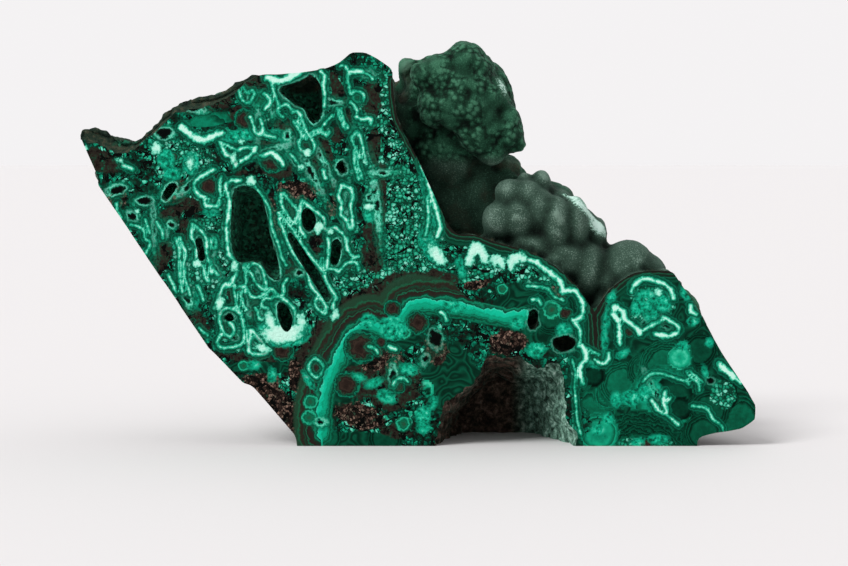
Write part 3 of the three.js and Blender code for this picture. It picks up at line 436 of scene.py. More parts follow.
def smoothstep(low, high, value):
    """Rises smoothly from 0 at low to 1 at high, or falls where high is the smaller."""
    t = np.clip((value - low) / (high - low), 0, 1)
    return t * t * (3 - 2 * t)


def rounded(line, steps=4):
    """A drawn line with its corners rounded, through the same points."""
    p = np.array(line, float)
    if len(p) < 3:
        return p
    closed = np.allclose(p[0], p[-1])
    before = p[-2] if closed else 2 * p[0] - p[1]
    after = p[1] if closed else 2 * p[-1] - p[-2]
    q = np.vstack([before, p, after])
    t = np.arange(steps)[:, None] / steps
    parts = []
    for a, b, c, d in zip(q[:-3], q[1:-2], q[2:-1], q[3:]):
        square = 2 * a - 5 * b + 4 * c - d
        cube = 3 * b - a - 3 * c + d
        parts.append(0.5 * (2 * b + (c - a) * t + square * t**2 + cube * t**3))
    return np.vstack(parts + [p[-1:]])


def nearest_on(points, line):
    """For each point, how far it is from the line, and the way to the line's nearest point."""
    best = np.full(len(points), FAR)
    way = np.zeros((len(points), 2))
    for a, b in zip(line[:-1], line[1:]):
        along = b - a
        length = max(along @ along, 1e-9)
        t = np.clip((points - a) @ along / length, 0, 1)
        offset = a + t[:, None] * along - points
        distance = np.hypot(offset[:, 0], offset[:, 1])
        closer = distance < best
        best[closer] = distance[closer]
        way[closer] = offset[closer]
    return best, way


def within(points, outline):
    """Whether each point lies inside a closed outline."""
    inside = np.zeros(len(points), bool)
    for a, b in zip(outline, np.roll(outline, -1, axis=0)):
        spans = (a[1] > points[:, 1]) != (b[1] > points[:, 1])
        rise = b[1] - a[1] if b[1] != a[1] else 1e-9
        inside ^= spans & (points[:, 0] < (b[0] - a[0]) * (points[:, 1] - a[1]) / rise + a[0])
    return inside


def patch_share(points, x, z, half_width, half_height, turn=0):
    """How far out each point is on an oval patch, from 0 at its middle to 1 at its edge."""
    angle = math.radians(turn)
    dx, dz = points[:, 0] - x, points[:, 1] - z
    u = (dx * math.cos(angle) - dz * math.sin(angle)) / half_width
    v = (dx * math.sin(angle) + dz * math.cos(angle)) / half_height
    return np.hypot(u, v)


def zone_field(points, zones):
    """The nearest zone's share, 1 on its edge."""
    return np.min([patch_share(points, *zone) for zone in zones], axis=0)


def patch_field(points, patches):
    """How far outside the nearest patch's edge each point is, in mm, and below 0 inside it."""
    return np.min([(patch_share(points, *p) - 1) * min(p[2], p[3]) for p in patches], axis=0)


def outline_field(points, outline):
    """How far outside a drawn outline each point is, in mm, and below 0 inside it."""
    line = rounded(outline + outline[:1])
    distance, _ = nearest_on(points, line)
    return np.where(within(points, line), -distance, distance)


def paint(obj, name, values):
    """Keeps values with the mesh's vertices, for the materials to read."""
    values = np.asarray(values, np.float32)
    kind = "FLOAT" if values.ndim == 1 else "FLOAT_VECTOR"
    attribute = obj.data.attributes.new(name, kind, "POINT")
    attribute.data.foreach_set("value" if values.ndim == 1 else "vector", values.ravel())


def face_saw(grid):
    """The block that the saw takes off the front: its back is a fine grid, which becomes the face."""
    width, height, thickness = Vector(FACE_SAW) * MM
    middle = (0, FACE_Y, FACE_SAW_MIDDLE * MM)
    bpy.ops.mesh.primitive_grid_add(
        x_subdivisions=round(width / grid), y_subdivisions=round(height / grid), size=1,
        location=middle, rotation=(math.radians(90), 0, 0),
    )
    block = bpy.context.object
    bpy.ops.transform.resize(value=(width, 1, height), center_override=middle)
    bpy.ops.object.transform_apply(location=True, rotation=True, scale=True)
    bpy.ops.object.mode_set(mode="EDIT")
    bpy.ops.mesh.select_all(action="SELECT")
    bpy.ops.mesh.extrude_region_move(TRANSFORM_OT_translate={"value": (0, -thickness, 0)})
    bpy.ops.mesh.select_all(action="SELECT")
    bpy.ops.mesh.normals_make_consistent(inside=False)
    bpy.ops.object.mode_set(mode="OBJECT")
    return block


def foot_saw():
    """The block that the saw takes off below the foot."""
    size = Vector(FOOT_SAW) * MM
    bpy.ops.mesh.primitive_cube_add(size=1, location=(0, 0, FOOT_Z - size.z / 2), scale=size)
    return bpy.context.object


def take_off(obj, cutter):
    """Cuts one solid away from another."""
    finish_with(obj, "BOOLEAN", operation="DIFFERENCE", object=cutter, solver="MANIFOLD")
    bpy.data.objects.remove(cutter)


def rough_stock(context, sizes):
    """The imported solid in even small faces, standing a little proud of its face and foot."""
    stone = bpy.data.objects.new("malachite_stone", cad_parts[NODE].data.copy())
    context.scene.collection.objects.link(stone)
    only(stone)
    bpy.ops.object.mode_set(mode="EDIT")
    bpy.ops.mesh.select_all(action="SELECT")
    bpy.ops.mesh.remove_doubles(threshold=0.005 * MM)
    bpy.ops.object.mode_set(mode="OBJECT")
    places = vertex_places(stone)
    for chosen, offset in (
        (places[:, 1] < FACE_Y / MM + 0.1, (0, -PROUD, 0)),
        (places[:, 2] < FOOT_Z / MM + 0.1, (0, 0, -PROUD)),
    ):
        select_in_edit(stone, "vertices", chosen)
        bpy.ops.transform.translate(value=offset)
        bpy.ops.object.mode_set(mode="OBJECT")
    finish_with(stone, "REMESH", mode="VOXEL", voxel_size=sizes.facet)
    finish_with(stone, "SMOOTH", factor=0.3, iterations=1)
    return stone


def break_crown(stone):
    """Above its border the crown is a broken slope that falls back from the face."""
    p = vertex_places(stone)
    border = rounded(CROWN_BORDER)
    fall, _ = nearest_on(p[:, [0, 2]], border)
    above = p[:, 2] > np.interp(p[:, 0], border[:, 0], border[:, 1])
    front = (p[:, 1] < FACE_Y / MM + CROWN_DEPTH) & above & (p[:, 0] < CROWN_BORDER[-1][0])
    slope = FACE_Y / MM + CROWN_STEP + CROWN_SLOPE * fall
    p[front, 1] = np.maximum(p[front, 1], slope[front])
    stone.data.vertices.foreach_set("co", (p * MM).astype(np.float32).ravel())
    stone.data.update()


def growth_masks(stone):
    """Where each kind of surface grows, as a weight for each vertex."""
    p = vertex_places(stone)
    x, depth, z = p[:, 0], p[:, 1] - FACE_Y / MM, p[:, 2]
    plan = p[:, [0, 2]]
    region = within(plan, np.array(CRUST_REGION, float)) * 1.0
    from_edge, _ = nearest_on(plan, rounded(CRUST_EDGE))
    crust = region * smoothstep(1, 4, np.minimum(depth, from_edge + depth * 0.4))
    upper = smoothstep(*LOBE_HEIGHTS, z) * smoothstep(*LOBE_SIDES, x)
    lobe = crust * upper
    back = smoothstep(*BACK_DEPTHS, depth) * (1 - lobe)
    cave = smoothstep(1.2, 0.9, patch_share(plan, *CAVE)) * smoothstep(*CAVE_DEPTHS, depth)
    from_cut, _ = nearest_on(plan, np.array(SAWN_LINE, float))
    sawn = smoothstep(5, 2, from_cut) * smoothstep(16, 8, depth)
    crown = (1 - crust) * smoothstep(0.4, 1.4, depth) * (1 - sawn) * (1 - back)
    return {
        "region": region, "upper": region * upper, "lobe": lobe, "grapes": crust * (1 - lobe),
        "back": back * (1 - cave), "cave": cave, "crown": crown * (1 - cave),
    }


def grow_crust(stone):
    """Smooths the natural surfaces and lets each one swell in its own way."""
    masks = growth_masks(stone)
    for name in sorted({mask for mask, *_ in GROWTHS}):
        weight_group(stone, name, masks[name])
    for mask, rounds in SMOOTHING.items():
        finish_with(stone, "SMOOTH", factor=0.5, iterations=rounds, vertex_group=mask)
    for number, (mask, kind, size, height) in enumerate(GROWTHS):
        swell = bpy.data.textures.new(f"swell_{number}", kind)
        swell.noise_scale = size * MM
        if kind == "VORONOI":
            swell.distance_metric = "MANHATTAN" if mask == "crown" else "DISTANCE_SQUARED"
            settings = {"mid_level": 0.3, "strength": -height * MM}
        else:
            swell.noise_depth = 4
            settings = {"mid_level": 0.5, "strength": height * MM}
        finish_with(stone, "DISPLACE", texture=swell, vertex_group=mask, **settings)


def mark_raised(stone):
    """Keeps how far each vertex stands out from those round it: lumps are above 0 and creases below. The
    crust's colours turn it into painted light and shade.
    """
    mesh = stone.data
    p = vertex_places(stone)
    normals = read(mesh.vertex_normals, "vector", width=3)
    a, b = read(mesh.edges, "vertices", np.int32, 2).T
    count = np.bincount(a, minlength=len(p)) + np.bincount(b, minlength=len(p))
    count = np.maximum(count, 1)[:, None]

    def blurred(values, rounds):
        """Each vertex's values, drawn halfway to those of its neighbours, round after round."""
        for _ in range(rounds):
            total = np.zeros_like(values)
            np.add.at(total, a, values[b])
            np.add.at(total, b, values[a])
            values = 0.5 * values + 0.5 * total / count
        return values

    raised = np.einsum("ij,ij->i", p - blurred(p, 9), normals)[:, None]
    paint(stone, "raised", blurred(raised, 2)[:, 0])


def face_and_rims(stone, on_face):
    """The polished face's polygons, and the vertices of its vug rims and of its outer edge."""
    flat = [p for p in stone.data.polygons if all(on_face[v] for v in p.vertices)]
    uses = {}
    for polygon in flat:
        for key in polygon.edge_keys:
            uses[key] = uses.get(key, 0) + 1
    after = {}
    for a, b in (key for key, count in uses.items() if count == 1):
        after.setdefault(a, []).append(b)
        after.setdefault(b, []).append(a)
    loops, seen = [], set()
    for start in after:
        loop, queue = [], [start]
        while queue:
            v = queue.pop()
            if v not in seen:
                seen.add(v)
                loop.append(v)
                queue.extend(after[v])
        loops.append(loop)
    loops.sort(key=len)
    rims = [v for loop in loops[:-1] for v in loop]
    return [p.index for p in flat], rims, loops[-1]


def distance_to(points, targets):
    """How far each point of the face's plane is from the nearest target."""
    tree = KDTree(len(targets))
    for i, (x, z) in enumerate(targets):
        tree.insert((x, 0, z), i)
    tree.balance()
    return np.array([tree.find((x, 0, z))[2] for x, z in points])


def seam_fields(q):
    """How far each point is from a seam, the way to it, and whether it is in a seam's loop."""
    best = np.full(len(q), FAR)
    seam = np.zeros((len(q), 3))
    in_loop = np.zeros(len(q), bool)
    for half, line in SEAMS:
        distance, way = nearest_on(q, rounded(line))
        closer = distance - half < best
        best[closer] = distance[closer] - half
        seam[closer, :2] = way[closer]
        seam[closer, 2] = half
        if len(line) > 4 and math.dist(line[0], line[-1]) < LOOP_GAP:
            in_loop |= within(q, rounded(line))
    return {"seam": best + seam[:, 2], "seam_way": seam}, in_loop


def patch_fields(q, from_rims):
    """How far each point is from the pits, the pale patches and the teal patches."""
    scallops = [outline_field(q, outline) for outline in SCALLOPS]
    return {
        "hollow": np.minimum(patch_field(q, PITS), from_rims),
        "pale": np.min([patch_field(q, PALE_PATCHES)] + scallops, axis=0),
        "teal": patch_field(q, TEAL_PATCHES),
    }


def round_fields(q):
    """Where each point is on the nearest eye and on the foremost fan."""
    shares = np.array([patch_share(q, x, z, r, r) for x, z, r, _ in EYES])
    nearest = shares.argmin(0)
    radii, kinds = np.array([eye[2:] for eye in EYES], float).T
    fan = np.full((len(q), 3), FAR)
    for x, z, radius, rings, lightness in FANS:
        share = patch_share(q, x, z, radius, radius)
        covered = share < 1
        fan[covered, 0] = share[covered]
        fan[covered, 1:] = rings, lightness
    return {"eye": np.stack([shares.min(0), kinds[nearest], radii[nearest]], 1), "fan": fan}


def band_fields(q):
    """How far each point is across the arch and the sawn crust, in mm and as a share of their reach."""
    across, way = nearest_on(q, rounded(ARCH))
    outward = -np.sign(np.einsum("ij,ij->i", way, q - ARCH_MIDDLE))
    reach = np.where(outward > 0, np.interp(q[:, 0], *ARCH_REACH), ARCH_REACH_IN)
    reach *= smoothstep(*ARCH_END, q[:, 0])
    edge = np.minimum(nearest_on(q, rounded(CRUST_EDGE))[0], nearest_on(q, np.array(NOTCH, float))[0])
    return {
        "arch": across * outward, "arch_share": across / np.maximum(reach, 0.01),
        "edge": edge, "edge_share": edge / np.interp(q[:, 1], *EDGE_REACH),
    }


def zone_fields(q, in_loop):
    """Which kinds of stone each point is in: brown, rock, mint grains and smooth."""
    brown, rock, grain = [zone_field(q, zones) for zones in (BROWN_ZONES, ROCK_ZONES, GRAIN_ZONES)]
    brown[in_loop] = 0
    return {"zones": np.stack([brown, rock, grain], 1), "smooth": zone_field(q, SMOOTH_ZONES)}


def paint_face(stone, on_face, rims):
    """Keeps the face's drawn pattern with its vertices."""
    p = vertex_places(stone)[:, [0, 2]]
    q = p[on_face]
    seams, in_loop = seam_fields(q)
    patches = patch_fields(q, distance_to(q, p[rims]))
    for fields in (seams, patches, round_fields(q), band_fields(q), zone_fields(q, in_loop)):
        for name, values in fields.items():
            full = np.full((len(p),) + values.shape[1:], FAR)
            full[on_face] = values
            paint(stone, name, full)


def paint_crust(stone, outer):
    """Keeps what each part of the natural surface is, and how far it is from where it broke off pale."""
    p = vertex_places(stone)
    x, depth = p[:, 0], p[:, 1] - FACE_Y / MM
    plan = p[:, [0, 2]]
    masks = growth_masks(stone)
    from_outer = distance_to(plan, plan[outer])
    in_vug = smoothstep(0.6, 1.6, from_outer - 0.3 * depth) * smoothstep(*VUG_DEPTHS, depth)
    vug = within(plan, rounded(VUG_GROUND)) * in_vug
    wall = smoothstep(*CAVE_WALL, x) * masks["cave"]
    paint(stone, "growth", np.stack([masks["upper"], masks["region"], masks["cave"]], 1))
    paint(stone, "hollows", np.stack([vug, masks["back"], wall], 1))
    from_line, _ = nearest_on(plan, rounded(BROKEN_LINE))
    broken = np.minimum(from_line - 0.7, patch_field(plan, BROKEN_PATCHES))
    broken += 6 * smoothstep(BROKEN_DEPTH - 6, BROKEN_DEPTH, depth)
    paint(stone, "broken", np.where(depth > 1, broken, FAR))


def linear(code):
    """An sRGB hex colour as linear light, with full alpha."""
    parts = [int(code[i:i + 2], 16) / 255 for i in (1, 3, 5)]
    return [c / 12.92 if c <= 0.04045 else ((c + 0.055) / 1.055) ** 2.4 for c in parts] + [1.0]


def add(tree, kind, inputs=(), output=0, stops=(), **settings):
    """Adds a shader node with its settings, and gives back its chosen output.

    The inputs are the constants and links of its first sockets in turn, or of the sockets that they name.
    """
    node = tree.nodes.new("ShaderNode" + kind)
    for key, value in settings.items():
        setattr(node, key, value)
    for key, value in inputs.items() if isinstance(inputs, dict) else enumerate(inputs):
        if isinstance(value, bpy.types.NodeSocket):
            tree.links.new(value, node.inputs[key])
        else:
            node.inputs[key].default_value = value
    if stops:
        while len(node.color_ramp.elements) < len(stops):
            node.color_ramp.elements.new(1)
        for element, (position, colour) in zip(node.color_ramp.elements, stops):
            element.position = position
            element.color = colour
    return node.outputs[output] if node.outputs else None


def painted(n, name, parts=0):
    """A painted value, or the separate parts of a painted vector."""
    if not parts:
        return n("Attribute", output=2, attribute_name=name)
    vector = n("Attribute", output=1, attribute_name=name)
    split = n("SeparateXYZ", [vector]).node.outputs
    return [split[i] for i in range(parts)]


def profile(n, distance, stops):
    """Colours set out along a distance, as (distance, colour, opacity): gives the opacity and the colour."""
    low, high = stops[0][0], stops[-1][0]
    along = n("MapRange", [distance, low, high])
    ramp = []
    for at, tone, *opacity in stops:
        colour = linear(tone) if isinstance(tone, str) else list(tone)
        ramp.append(((at - low) / (high - low), colour[:3] + (opacity or [1.0])))
    colour = n("ValToRGB", [along], stops=ramp)
    return colour.node.outputs[1], colour


def tones(n, value, codes):
    """Evenly spaced tones along a value from 0 to 1."""
    last = len(codes) - 1
    return n("ValToRGB", [value], stops=[(i / last, linear(code)) for i, code in enumerate(codes)])


def ragged(n, field, noise, reach):
    """A distance or a share that wanders with a noise, so that what is drawn by it has a ragged edge."""
    return n("Math", [noise, reach, field], operation="MULTIPLY_ADD")


def layered(n, base, layers):
    """Lays colours over a base, each through its own mask."""
    for mask, colour in layers:
        base = n("Mix", {0: mask, 6: base, 7: colour}, output=2, data_type="RGBA")
    return base


def grains(n, place, size, wander=0.5):
    """Irregular grains: a random tone for each, how deep in it each point is and how far from its middle."""
    drift = n("TexNoise", {"Vector": place, "Scale": 1.1 / size, "Detail": 2.0}, output=1)
    reach = (wander * size * 2,) * 3
    moved = n("VectorMath", [drift, reach, place], operation="MULTIPLY_ADD")
    cell = n("TexVoronoi", {"Vector": moved, "Scale": 1 / size}, output=1)
    depth = n("TexVoronoi", {"Vector": moved, "Scale": 1 / size}, feature="DISTANCE_TO_EDGE")
    return n("SeparateXYZ", [cell]), depth, cell.node.outputs[0]


def jointed(n, depth, reach, joint, colour):
    """Grains of a colour with dark joints between them."""
    inside = n("MapRange", [depth, 0.02, reach], interpolation_type="SMOOTHSTEP")
    return layered(n, linear(joint), [(inside, colour)])


def new_material(name):
    """An empty material, its node adder, and the place on the object in mm."""
    material = bpy.data.materials.new(name)
    material.use_nodes = True
    material.node_tree.nodes.clear()
    n = partial(add, material.node_tree)
    place = n("VectorMath", {0: n("TexCoord", output=3), 3: 1 / MM}, operation="SCALE")
    return material, n, place


def finish_material(n, inputs, height, bump):
    """The surface itself: its colour and gloss, with fine relief of a height in mm."""
    relief = n("Bump", {"Height": height, "Strength": 1.0, "Distance": bump * MM})
    surface = n("BsdfPrincipled", {**inputs, "Normal": relief})
    n("OutputMaterial", [surface])


def in_zone(n, patchy, share):
    """Where a painted zone is, with a ragged edge."""
    return n("MapRange", [ragged(n, share, patchy, 1.3), 1.08, 0.9], interpolation_type="SMOOTHSTEP")


def breccia(n, place, broad):
    """The ground of the face: grains of every tone, in patches, and how deep in a grain each point is."""
    tone, depth, _ = grains(n, place, 1.3)
    patch = n("MapRange", [broad, 0.33, 0.67, -0.2, 0.62])
    mixed = n("Math", [tone, 0.58, patch], operation="MULTIPLY_ADD")
    colour = tones(n, mixed, [
        "#040605", "#1b1612", "#0a2219", "#073d2b", "#07604a", "#0c8a68", "#22b08a", "#6cd8ba",
    ])
    return jointed(n, depth, 0.14, "#06251a", colour), depth


def smooth_stone(n, place, patchy):
    """Smooth dark green with contour bands."""
    zone = ragged(n, painted(n, "smooth"), patchy, 0.3)
    inside = n("MapRange", [zone, 1.2, 1.0], interpolation_type="SMOOTHSTEP")
    swirl = n("TexNoise", {"Vector": place, "Scale": 0.14, "Detail": 1.5, "Distortion": 0.6})
    bands = n("Math", [swirl, 9.0], operation="MULTIPLY")
    contour = n("Math", [bands], operation="FRACT")
    return inside, tones(n, contour, [
        "#03261a", "#042c1e", "#053525", "#06422e", "#084f38", "#064330", "#042e1f", "#03261a",
    ])


def fans(n, warp, patchy, in_smooth):
    """Domes cut across, with rings at the rim that each darken outwards."""
    share, rings, light = painted(n, "fan", 3)
    wavy = ragged(n, share, patchy, 0.3)
    turns = n("MapRange", [wavy, 0.6, 1.0, 0, rings])
    cycle = n("Math", [turns], operation="FRACT")
    step = n("MapRange", [cycle, 0, 0.9, 0.18, -0.19])
    outwards = n("MapRange", [wavy, 0, 1, 0.7, 1.1])
    dome = n("Math", [light, outwards, step], operation="MULTIPLY_ADD")
    grainy = ragged(n, dome, warp, 0.35)
    inside = n("MapRange", [share, 1.1, 0.98])
    mask = n("Math", [inside, in_smooth], operation="MULTIPLY")
    return mask, tones(n, grainy, [
        "#00130b", "#012317", "#033726", "#064e37", "#08694c", "#0c8565", "#14a880", "#4ccfaa",
    ])


def mint_grains(n, place):
    """Rounded mint-green grains, each lighter in its middle."""
    grain, depth, from_middle = grains(n, place, 1.0)
    domed = n("MapRange", [from_middle, 0.1, 0.75, 0.3, -0.3])
    tone = n("Math", [grain, domed], operation="ADD")
    colour = tones(n, tone, ["#0b3d2c", "#0f6c50", "#17906d", "#35b28f", "#7fd9bf"])
    return jointed(n, depth, 0.16, "#073526", colour)


def brown_stone(n, place):
    """Compact brown stone mottled with green."""
    mottle = n("TexNoise", {"Vector": place, "Scale": 0.7, "Detail": 5.0, "Roughness": 0.7})
    spread = n("MapRange", [mottle, 0.32, 0.68])
    return tones(n, spread, ["#0d0b09", "#1a1613", "#28211c", "#262a20", "#15402e", "#0e6a4d"])


def open_rock(n, place):
    """Open-grained brown rock."""
    grain, depth, _ = grains(n, place, 0.8)
    colour = tones(n, grain, ["#0d0a09", "#231b17", "#3a2d26", "#5c483e", "#8a7062", "#1c3a2b"])
    return jointed(n, depth, 0.2, "#120d0b", colour)


def crevices(n, place, patchy, in_smooth):
    """Where black crevices run between the growths: wider in some parts, and none in smooth stone."""
    ridge = n("TexNoise", {"Vector": place, "Scale": 0.2, "Detail": 4.0, "Distortion": 1.4})
    side = n("Math", [ridge, 0.5], operation="SUBTRACT")
    from_ridge = n("Math", [side], operation="ABSOLUTE")
    width = n("MapRange", [patchy, -0.1, 0.14, 0.0, 0.055])
    rough = n("Math", [1.0, in_smooth], operation="SUBTRACT")
    opened = n("Math", [width, rough], operation="MULTIPLY")
    return n("Math", [from_ridge, opened], operation="LESS_THAN")


def arch_layer(n, warp, patchy):
    """The bright arch over the hollow, and the dark bands outside it."""
    wavy = ragged(n, ragged(n, painted(n, "arch"), patchy, 3.4), warp, 0.6)
    mask, colour = profile(n, wavy, [
        (-3.9, "#06432f", 0.0), (-3.3, "#07402c", 0.8), (-2.8, "#0b7455"), (-2.5, "#07402c"),
        (-2.1, "#0a6247"), (-1.8, "#0c8665"), (-1.6, "#08523a"), (-1.4, "#0b8e6c"), (-0.9, "#0a9a76"),
        (-0.6, "#0aa37e"),
        (-0.3, "#0a9470"), (0.1, "#0fb892"), (0.7, "#10bd97"), (1.0, "#3ad0ac"), (1.15, "#0a3a2c"),
        (1.5, "#0b5a41"), (1.9, "#13805f"), (2.15, "#0a4431"), (2.6, "#1d2a20"), (2.9, "#2a231e"),
        (3.4, "#251d19"), (3.65, "#176346"), (3.9, "#21201a"), (4.4, "#16402d"), (4.8, "#2a231d"),
        (5.3, "#28281e"), (5.8, "#1a5a3e"), (6.2, "#20402d"), (7.4, "#22402e"), (8.4, "#1f4a35"),
    ])
    inside = n("MapRange", [painted(n, "arch_share"), 1.0, 0.9])
    return n("Math", [mask, inside], operation="MULTIPLY"), colour


def crust_edge_layer(n, patchy):
    """The thin dark bands where the crust is sawn across."""
    wavy = ragged(n, painted(n, "edge"), patchy, 1.2)
    colour = profile(n, wavy, [
        (0, "#1c1b16"), (0.5, "#1f201a"), (0.7, "#145a40"), (0.95, "#1a261c"), (1.5, "#12261b"),
        (1.75, "#16634a"), (2.0, "#05301f"), (2.7, "#0a4a35"), (3.2, "#04301f"),
    ])[1]
    return n("MapRange", [painted(n, "edge_share"), 1.0, 0.85]), colour


def eye_layer(n, warp):
    """Eyes of rings round a brown or a green core."""
    share, kind, radius = painted(n, "eye", 3)
    wavy = ragged(n, share, warp, 0.9)
    brown = profile(n, wavy, [
        (0, "#1a1310"), (0.3, "#2b211c"), (0.42, "#3a2e26"), (0.5, "#1e1c17"), (0.6, "#2a211c"),
        (0.7, "#14523a"), (0.78, "#082218"), (0.86, "#0a5a42"), (0.93, "#0e7e5f"), (1, "#07382a"),
    ])[1]
    green = profile(n, wavy, [
        (0, "#2a4a35"), (0.25, "#175a40"), (0.4, "#0f6b4c"), (0.55, "#0b4f38"), (0.68, "#0e8a66"),
        (0.82, "#29b58e"), (0.92, "#0c6a4c"), (1, "#0a4a35"),
    ])[1]
    is_green = n("MapRange", [kind, 0.4, 0.6])
    from_middle = n("Math", [share, radius], operation="MULTIPLY")
    outside = n("Math", [from_middle, radius], operation="SUBTRACT")
    inside = n("MapRange", [outside, 0.25, 0.0])
    return inside, layered(n, brown, [(is_green, green)])


def teal_layer(n, fine, warp):
    """Bright teal patches."""
    outside = ragged(n, painted(n, "teal"), warp, 3.0)
    mask, _ = profile(n, outside, [(-0.1, "#ffffff"), (0.2, "#ffffff", 0.7), (0.6, "#ffffff", 0.0)])
    speckle = n("MapRange", [fine, 0.3, 0.72])
    return mask, tones(n, speckle, ["#04382a", "#07634a", "#0a8e6c", "#10b08a", "#36c8a2", "#86e0c8"])


def rim_layer(n, place, warp, patchy):
    """Painted pits, black inside as painted shade, and the uneven pale rims round pits and vugs, which fade
    towards the right.
    """
    outside = ragged(n, ragged(n, painted(n, "hollow"), patchy, 2.2), warp, 1.6)
    # Below 0 is inside a painted pit: its black is painted shade.
    rim, colour = profile(n, outside, [
        (-0.35, "#040706"), (-0.1, "#0a1a13"), (0.02, "#1b7a5c"), (0.2, "#4fc8a6"), (0.36, "#7fdcc2"),
        (0.5, "#2fb08b"), (0.75, "#0d7a5a", 0.9), (1.0, "#06402e", 0.7), (1.3, "#0c7a5a", 0.6),
        (1.8, "#0b4a38", 0.0),
    ])
    most = n("MapRange", [n("SeparateXYZ", [place]), -6, 4, 1, 0.25])
    uneven = n("MapRange", [patchy, -0.13, 0.1, 0.3, most])
    rim = n("Math", [rim, uneven], operation="MULTIPLY")
    inside = n("MapRange", [outside, 0.05, -0.1])
    return n("Math", [rim, inside], operation="MAXIMUM"), colour


def seam_distance(n, patchy):
    """How far each point is from the edge of the nearest seam, exact close by: seams swell and pinch."""
    far = painted(n, "seam")
    x, z, half = painted(n, "seam_way", 3)
    near = n("VectorMath", [n("CombineXYZ", [x, z])], output=1, operation="LENGTH")
    use_far = n("MapRange", [far, 0.45, 0.7])
    middle = n("Mix", {0: use_far, 2: near, 3: far}, data_type="FLOAT")
    swell = n("MapRange", [patchy, -0.2, 0.2, 0.3, 1.3])
    width = n("Math", [half, swell], operation="MULTIPLY")
    return n("Math", [middle, width], operation="SUBTRACT")


def seam_layer(n, warp, patchy, palest):
    """Pale seams in dark sleeves."""
    outside = ragged(n, seam_distance(n, patchy), warp, 1.5)
    return profile(n, outside, [
        (-0.46, palest), (-0.3, "#a4ecd4"), (-0.14, "#55cdab"), (0.03, "#1fa984"), (0.24, "#0a7657", 0.95),
        (0.5, "#04382a", 0.85), (0.75, "#086045", 0.6), (0.95, "#0d7f60", 0.5), (1.15, "#042c20", 0.5),
        (1.6, "#0b4a38", 0.0),
    ])


def patch_layer(n, warp, palest):
    """Pale patches."""
    outside = ragged(n, painted(n, "pale"), warp, 2.8)
    return profile(n, outside, [
        (-1.0, palest), (-0.4, "#a4ecd4"), (-0.1, "#6fd6b8", 0.95), (0.15, "#129672", 0.8),
        (0.35, "#04382a", 0.6), (0.8, "#0b5a44", 0.0),
    ])


def polished_malachite(sizes):
    """Sawn and polished malachite: banded greens under a low gloss, duller where the grain is open."""
    material, n, place = new_material("malachite, sawn and polished")
    fine = n("TexNoise", {"Vector": place, "Scale": 0.9, "Detail": 4.0, "Roughness": 0.65})
    broad = n("TexNoise", {"Vector": place, "Scale": 0.33, "Detail": 4.0, "Roughness": 0.6})
    warp, patchy = [n("Math", [noise, 0.5], operation="SUBTRACT") for noise in (fine, broad)]
    in_brown, in_rock, in_grain = [in_zone(n, patchy, share) for share in painted(n, "zones", 3)]
    ground, depth = breccia(n, place, broad)
    in_smooth, smooth = smooth_stone(n, place, patchy)
    colour = layered(n, ground, [
        (in_smooth, smooth),
        fans(n, warp, patchy, in_smooth),
        (in_grain, mint_grains(n, place)),
        (in_brown, brown_stone(n, place)),
        (in_rock, open_rock(n, place)),
        (crevices(n, place, patchy, in_smooth), linear("#050706")),
        arch_layer(n, warp, patchy),
        crust_edge_layer(n, patchy),
        eye_layer(n, warp),
        teal_layer(n, fine, warp),
        rim_layer(n, place, warp, patchy),
        seam_layer(n, warp, patchy, sizes.pale),
        patch_layer(n, warp, sizes.pale),
    ])
    gloss = n("MapRange", {0: in_smooth, 3: 0.5, 4: 0.3})
    rough = n("MapRange", {0: in_rock, 3: gloss, 4: 0.75})
    height = n("MapRange", [depth, 0, 0.25, in_smooth, 1])
    look = {"Base Color": colour, "Roughness": rough, "IOR": 1.5, "Specular IOR Level": 0.03}
    finish_material(n, look, height, 0.06)
    return material


def lobe_knobs(n, place, lobe, broad):
    """Small round knobs, and the parts of the upper lobe that have them."""
    _, _, from_middle = grains(n, place, 1.7, wander=0.25)
    knobs = n("MapRange", [from_middle, 0.15, 0.8, 1, 0], interpolation_type="SMOOTHSTEP")
    patches = n("MapRange", [broad, 0.42, 0.5])
    return knobs, n("Math", [lobe, patches], operation="MULTIPLY")


def painted_shade_and_speckle(n, place, swell):
    """How light the crust is by its height, as painted light and shade: lumps painted lighter and creases
    painted darker, with a fine velvet speckle over it.
    """
    # painted light and shade: the more a vertex stands out, the lighter it is painted
    lumpy = ragged(n, painted(n, "raised"), swell, 0.3)
    level = n("MapRange", [lumpy, -0.4, 0.4])
    velvet = n("TexNoise", {"Vector": place, "Scale": 3.4, "Detail": 2.0})
    dotted = n("MapRange", [velvet, 0.5, 0.8, 0, 0.5])
    return n("Math", [level, dotted], operation="ADD")


def painted_lobe_light(n, knobs, knobbly, height):
    """The upper lobe, with a painted highlight on the middle of each knob and painted shade in its creases."""
    # painted highlight: the middle of each knob is made lighter, as if lit on top
    top = n("Math", [knobs, 0.55], operation="SUBTRACT")
    top = n("Math", [knobbly, top], operation="MULTIPLY")
    shade = n("Math", [top, 0.8, height], operation="MULTIPLY_ADD")
    return tones(n, shade, ["#07130d", "#10281c", "#1a3d2c", "#27523d", "#3f7258"])


